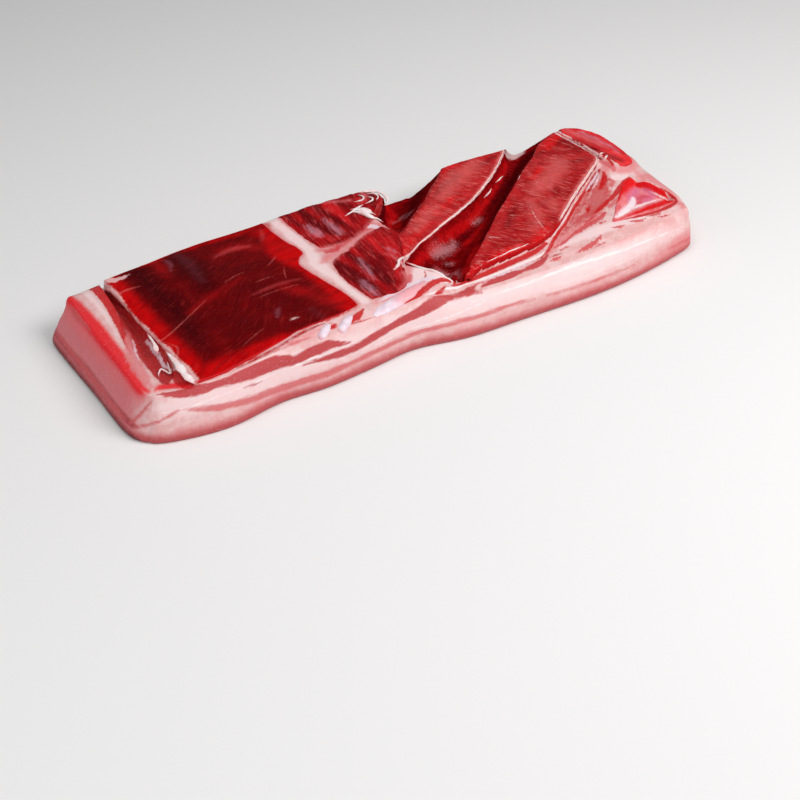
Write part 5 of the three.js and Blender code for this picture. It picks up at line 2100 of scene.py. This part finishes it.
class Ground(Enum):
    """What a strip's height is counted from: a method of the slab's form."""

    BASE = "base"
    LEAF = "leaf"
    SURFACE = "surface"


@dataclass(frozen=True)
class Ribbon:
    """A thin strip of skin, fat or muscle that follows a line on the rib side.

    Its stations are places along and across the slab, height over what it lies on, half the
    width and half the thickness.
    """

    name: str
    stations: Line
    ground: Ground = Ground.BASE
    finish: Flesh = SILVER_SKIN
    step: float = 0.7
    sides: int = 14
    rough: float = 0.45
    seed: int = 7

    def body(self) -> Body:
        """Builds the strip.

        Returns:
            Its closed mesh.
        """
        coarse = curve_through(self.stations, 20 * len(self.stations))
        length = float(np.linalg.norm(np.diff(coarse[:, :2], axis=0), axis=1).sum())
        rows = max(int(length / self.step), 8)
        path = along_curve(self.stations, np.linspace(0, 1, rows))
        x, y, lift, wide, thick = path.T
        ground = getattr(FORM, self.ground.value)(x, y)
        run = np.linspace(0, length, rows)
        x = x + 0.5 * rumple(run / 6, 0, 0, self.seed)
        y = y + 0.5 * rumple(run / 6, 9, 0, self.seed)
        z = crowned(ground) + lift + 0.25 * rumple(run / 4, 3, 0, self.seed)
        heading = np.stack([np.gradient(x), np.gradient(y)], -1)
        heading /= np.linalg.norm(heading, axis=1, keepdims=True) + TINY
        across = np.stack([heading[:, 1], -heading[:, 0]], -1)
        ending = np.sin(np.pi * (np.arange(rows) + 0.5) / rows) ** 0.35
        width = wide * ending * (1 + self.rough * rumple(run / 3.5, 5, 0, self.seed, 4))
        height = thick * ending * (1 + 0.5 * self.rough * rumple(run / 5, 7, 0, self.seed))
        round_to = 2 * math.pi * np.arange(self.sides) / self.sides
        out = np.cos(round_to)[None] * width[:, None]
        up = np.sin(round_to)[None] * height[:, None]
        places = np.stack([
            x[:, None] + across[:, :1] * out, y[:, None] + across[:, 1:] * out, z[:, None] + up,
        ], -1).reshape(-1, 3)
        numbers = {
            "place": places,
            "fibre": np.stack([np.broadcast_to(run[:, None], out.shape), out, up], -1).reshape(-1, 3),
            "end": (1.5 - np.minimum(run, length - run)[:, None] + 0 * out).ravel(),
        }
        return Body(places, [face[:, ::-1] for face in tube_faces(rows, self.sides)], numbers)

    def build(self) -> Object:
        """Returns the strip's object."""
        return self.body().piece(self.name, self.finish)


def lip_line(points: Line, lift: float, wide: float, thick: float, offset: Point = (0, 0)) -> Line:
    """Returns a ribbon's stations along a line of the plan."""
    return tuple((x + offset[0], y + offset[1], lift, wide, thick) for x, y in points)


CARTILAGES = (
    Cartilage("costal_cartilage_1", ((-93.5, -64), (-79.5, -55)), 3.7, 4, 1),
    Cartilage("costal_cartilage_2", ((-78.5, -64.5), (-62, -54.5)), 4, 4.4, 1.1),
    Cartilage("costal_cartilage_3", ((-54, -61), (11, -46.5)), 7, 6, 1.15),
)

MUSCLES = (
    BACK_BED, FRONT_BED, BellyMuscle(), BACK_RIB_MUSCLE, FRONT_RIB_MUSCLE, NearLeaf(), FarLeaf(), END_MUSCLE,
    HollowLining(),
)
RIBBONS = (
    Ribbon("near_leaf_lip", lip_line(NEAR_LIP, 0, 0.34, 0.42, (0.4, -0.6)), rough=1, seed=51),
    Ribbon("near_lip_knot", ((-10, -25.5, 0.2, 0.6, 0.6), (-6, -24, 0.8, 1.5, 1.1), (-3, -22, 0.9, 1, 0.9),
           (-1, -19, 0.8, 1.4, 1), (3, -16.6, 0.6, 1, 0.8), (7, -16, 0.2, 0.5, 0.5)), seed=52),
    Ribbon("far_leaf_lip", lip_line(FAR_LIP[5:], 0, 0.36, 0.45, (0.3, -0.5)), Ground.LEAF, rough=0.9,
           seed=53),
    Ribbon("far_leaf_front_lip", lip_line(FAR_LIP[1:4], -0.1, 0.5, 0.5, (0.1, 0.9)), Ground.LEAF, seed=54),
    Ribbon("far_leaf_end_lip",
           lip_line(((213, 23), (213.8, 36), (214, 52), (213, 66), (211, 76)), 0, 0.3, 0.4), Ground.LEAF,
           rough=0.9, seed=69),
    Ribbon("flap_edge", ((3, -22, 0, 0.6, 0.6), (8, -33, 0, 0.8, 0.8), (15, -44, -0.2, 0.9, 0.8),
           (20.5, -53, -0.4, 0.9, 0.7), (16, -55, -0.3, 0.5, 0.5)), seed=56),
    Ribbon("torn_fringe_1", ((17, 68, 0.2, 0.4, 0.4), (23, 66, 1, 0.8, 0.6), (26, 70, 1, 0.8, 0.6),
           (25, 76, 0.4, 0.4, 0.4)), rough=0.9, seed=57),
    Ribbon("torn_fringe_2", ((22, 61, 0.4, 0.4, 0.4), (28, 61, 1.2, 0.9, 0.7), (31, 65, 1.2, 0.8, 0.6),
           (29, 69, 0.6, 0.4, 0.4)), rough=0.9, seed=58),
    Ribbon("torn_fringe_3", ((0, 54, 0.2, 0.5, 0.5), (9, 56.5, 0.8, 0.9, 0.7), (20, 60.5, 0.6, 0.7, 0.6)),
           seed=59),
    Ribbon("torn_curl", ((7, 58, 0.2, 0.6, 0.6), (10, 54, 0.8, 1.7, 1.2), (13, 49, 1, 2.1, 1.4),
           (16, 43, 0.8, 1.5, 1.2), (19, 37, 0.4, 1, 0.8), (20, 33, 0, 0.5, 0.5)), rough=0.9, seed=60),
    Ribbon("torn_flap", ((9, 60, 0.2, 0.5, 0.5), (14, 56, 1, 1.6, 0.9), (18, 50, 1, 2, 1),
           (21, 44, 0.2, 0.9, 0.7)), rough=1, seed=74),
    Ribbon("torn_fringe_4", ((27, 78, 0.4, 0.5, 0.5), (34, 76, 1, 1.1, 0.9), (40, 72, 1, 1.4, 1),
           (42.4, 65, 0.4, 1.2, 0.9), (40, 58, -0.6, 0.9, 0.7), (35, 55, -1, 0.5, 0.5)), rough=0.9,
           seed=70),
    Ribbon("torn_fringe_5", ((31, 72, 1.2, 0.4, 0.5), (35, 69, 1.8, 0.9, 0.7), (36, 64, 1.4, 0.9, 0.7),
           (32, 60.6, 0.9, 0.5, 0.4)), rough=0.9, seed=71),
    Ribbon("end_curl_1", ((216, 24, 0, 0.5, 0.5), (219, 26.5, 1, 0.9, 0.8), (223, 27, 0.8, 0.6, 0.5)),
           seed=61),
    Ribbon("end_curl_2", ((215, 19, 0, 0.5, 0.5), (219, 20, 0.8, 0.9, 0.7), (223, 23, 0.6, 0.5, 0.5)),
           seed=62),
    Ribbon("crease_thread", ((-197, -38, 0.4, 0.4, 0.4), (-195, -34, 1, 0.6, 0.6),
           (-191.6, -30, 1.4, 0.7, 0.6), (-190.4, -33, 1.6, 0.6, 0.6), (-188.6, -38, 1.2, 0.7, 0.6),
           (-187, -33, 1, 0.6, 0.6), (-184.6, -25, 0.8, 0.5, 0.5)), Ground.SURFACE, seed=63),
    Ribbon("crease_flap", ((-182.2, -20, -0.6, 0.7, 0.6), (-182.6, -34, -0.4, 2, 1),
           (-183.4, -46, -0.2, 3, 1.1), (-183.4, -55, -0.2, 3.2, 1), (-182, -61, -0.3, 1.4, 0.7)), seed=64),
    Ribbon("crease_film", ((-182.2, 8, -1.2, 0.6, 0.6), (-183.6, -4, -1.5, 1.1, 0.9),
           (-185.6, -12, -2, 1.6, 0.8), (-186.6, -17, -2.4, 0.6, 0.5)), seed=65),
    Ribbon("valley_thread_1", ((110, 32.5, 0.6, 0.3, 0.4), (117, 36.4, 0.8, 0.7, 0.5),
           (125, 42, 0.5, 0.3, 0.4)), Ground.SURFACE, seed=66),
    Ribbon("valley_thread_2", ((132, 47, 0.6, 0.3, 0.4), (139, 51, 0.8, 0.7, 0.5),
           (146, 55, 0.5, 0.3, 0.4)), Ground.SURFACE, seed=67),
)
ROLL = Spindle(
    "rolled_muscle_edge", ((8, 61, 31.2), (37, 70, 32)), 3.1, 2.6, RAW_EDGE, rough=0.45, seed=61,
    girth_power=0.9)


# ---- the studio


@dataclass(frozen=True)
class Studio:
    """The camera, the floor and the light."""

    lens: float = 67.5
    sensor: float = 36
    target: Point = (-0.06968, -0.10928, 0)
    distance: float = 0.97875
    turn: float = -33.68
    tilt: float = 37.33
    floor_half: float = 4
    floor_drop: float = 0.0002
    lit: Point = (0, 0, 0.02)
    # Each lamp's name, place, width, power and colour.
    lamps: tuple[tuple[str, Point, float, float, Point], ...] = (
        ("key", (0.62, -0.72, 1.05), 0.8, 13.4, (1, 0.98, 0.97)),
        ("fill", (-0.8, -1, 0.9), 1.4, 4, (1, 0.99, 1)),
        ("left", (-1.3, -0.1, 0.55), 1, 2.6, (1, 0.99, 1)),
        ("over", (-0.2, -0.1, 1.5), 1, 6, (1, 1, 1)),
    )
    room_light: float = 0.16

    def camera(self) -> None:
        """Places the camera."""
        turn, tilt = math.radians(self.turn), math.radians(self.tilt)
        back = Vector((math.sin(turn) * math.cos(tilt), -math.cos(turn) * math.cos(tilt), math.sin(tilt)))
        made = placed("camera", bpy.data.cameras.new("camera"))
        made.data.lens, made.data.sensor_width = self.lens, self.sensor
        made.data.clip_start = 0.02
        made.location = Vector(self.target) + back * self.distance
        made.rotation_euler = back.to_track_quat("Z", "Y").to_euler()
        bpy.context.scene.camera = made

    def floor(self) -> None:
        """Lays the pale floor."""
        mesh = bpy.data.meshes.new("floor")
        half = self.floor_half
        corners = [(-half, -half, 0), (half, -half, 0), (half, half, 0), (-half, half, 0)]
        mesh.from_pydata(corners, [], [(0, 1, 2, 3)])
        material = bpy.data.materials.new("floor_paper")
        material.use_nodes = True
        surface = material.node_tree.nodes["Principled BSDF"]
        surface.inputs["Base Color"].default_value = shade_of(236, 236, 236)
        surface.inputs["Roughness"].default_value = 0.9
        mesh.materials.append(material)
        made = placed("floor", mesh)
        made.location.z = -self.floor_drop

    def light(self) -> None:
        """Hangs the soft lamps, which shine at the slab, and sets the room's own light."""
        for name, place, size, power, colour in self.lamps:
            data = bpy.data.lights.new(name, "AREA")
            data.shape, data.size, data.energy, data.color = "DISK", size, power, colour
            made = placed(name, data)
            made.location = place
            made.rotation_euler = (Vector(place) - Vector(self.lit)).to_track_quat("Z", "Y").to_euler()
        world = bpy.data.worlds.new("room")
        world.use_nodes = True
        background = world.node_tree.nodes["Background"]
        background.inputs["Color"].default_value = (1, 1, 1, 1)
        background.inputs["Strength"].default_value = self.room_light
        bpy.context.scene.world = world
        bpy.context.scene.view_settings.view_transform = "Standard"


def main() -> None:
    """Sets up the studio, then builds and dresses the slab."""
    studio = Studio()
    studio.camera()
    studio.floor()
    studio.light()
    outlines = tuple(muscle.plan.outline() for muscle in MUSCLES)
    slab = SlabBody(covers=outlines, halos=outlines[2:5])
    body = slab.body().piece(slab.name, slab.finish)
    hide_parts("pork_belly_slab")
    LOG.info("%s: %d faces", slab.name, len(body.data.polygons))
    for part in (*MUSCLES, *RIBBONS, *CARTILAGES, ROLL):
        made = part.build()
        LOG.info("%s: %d faces", made.name, len(made.data.polygons))


if __name__ == "__main__":
    logging.basicConfig(level=logging.INFO)
    main()
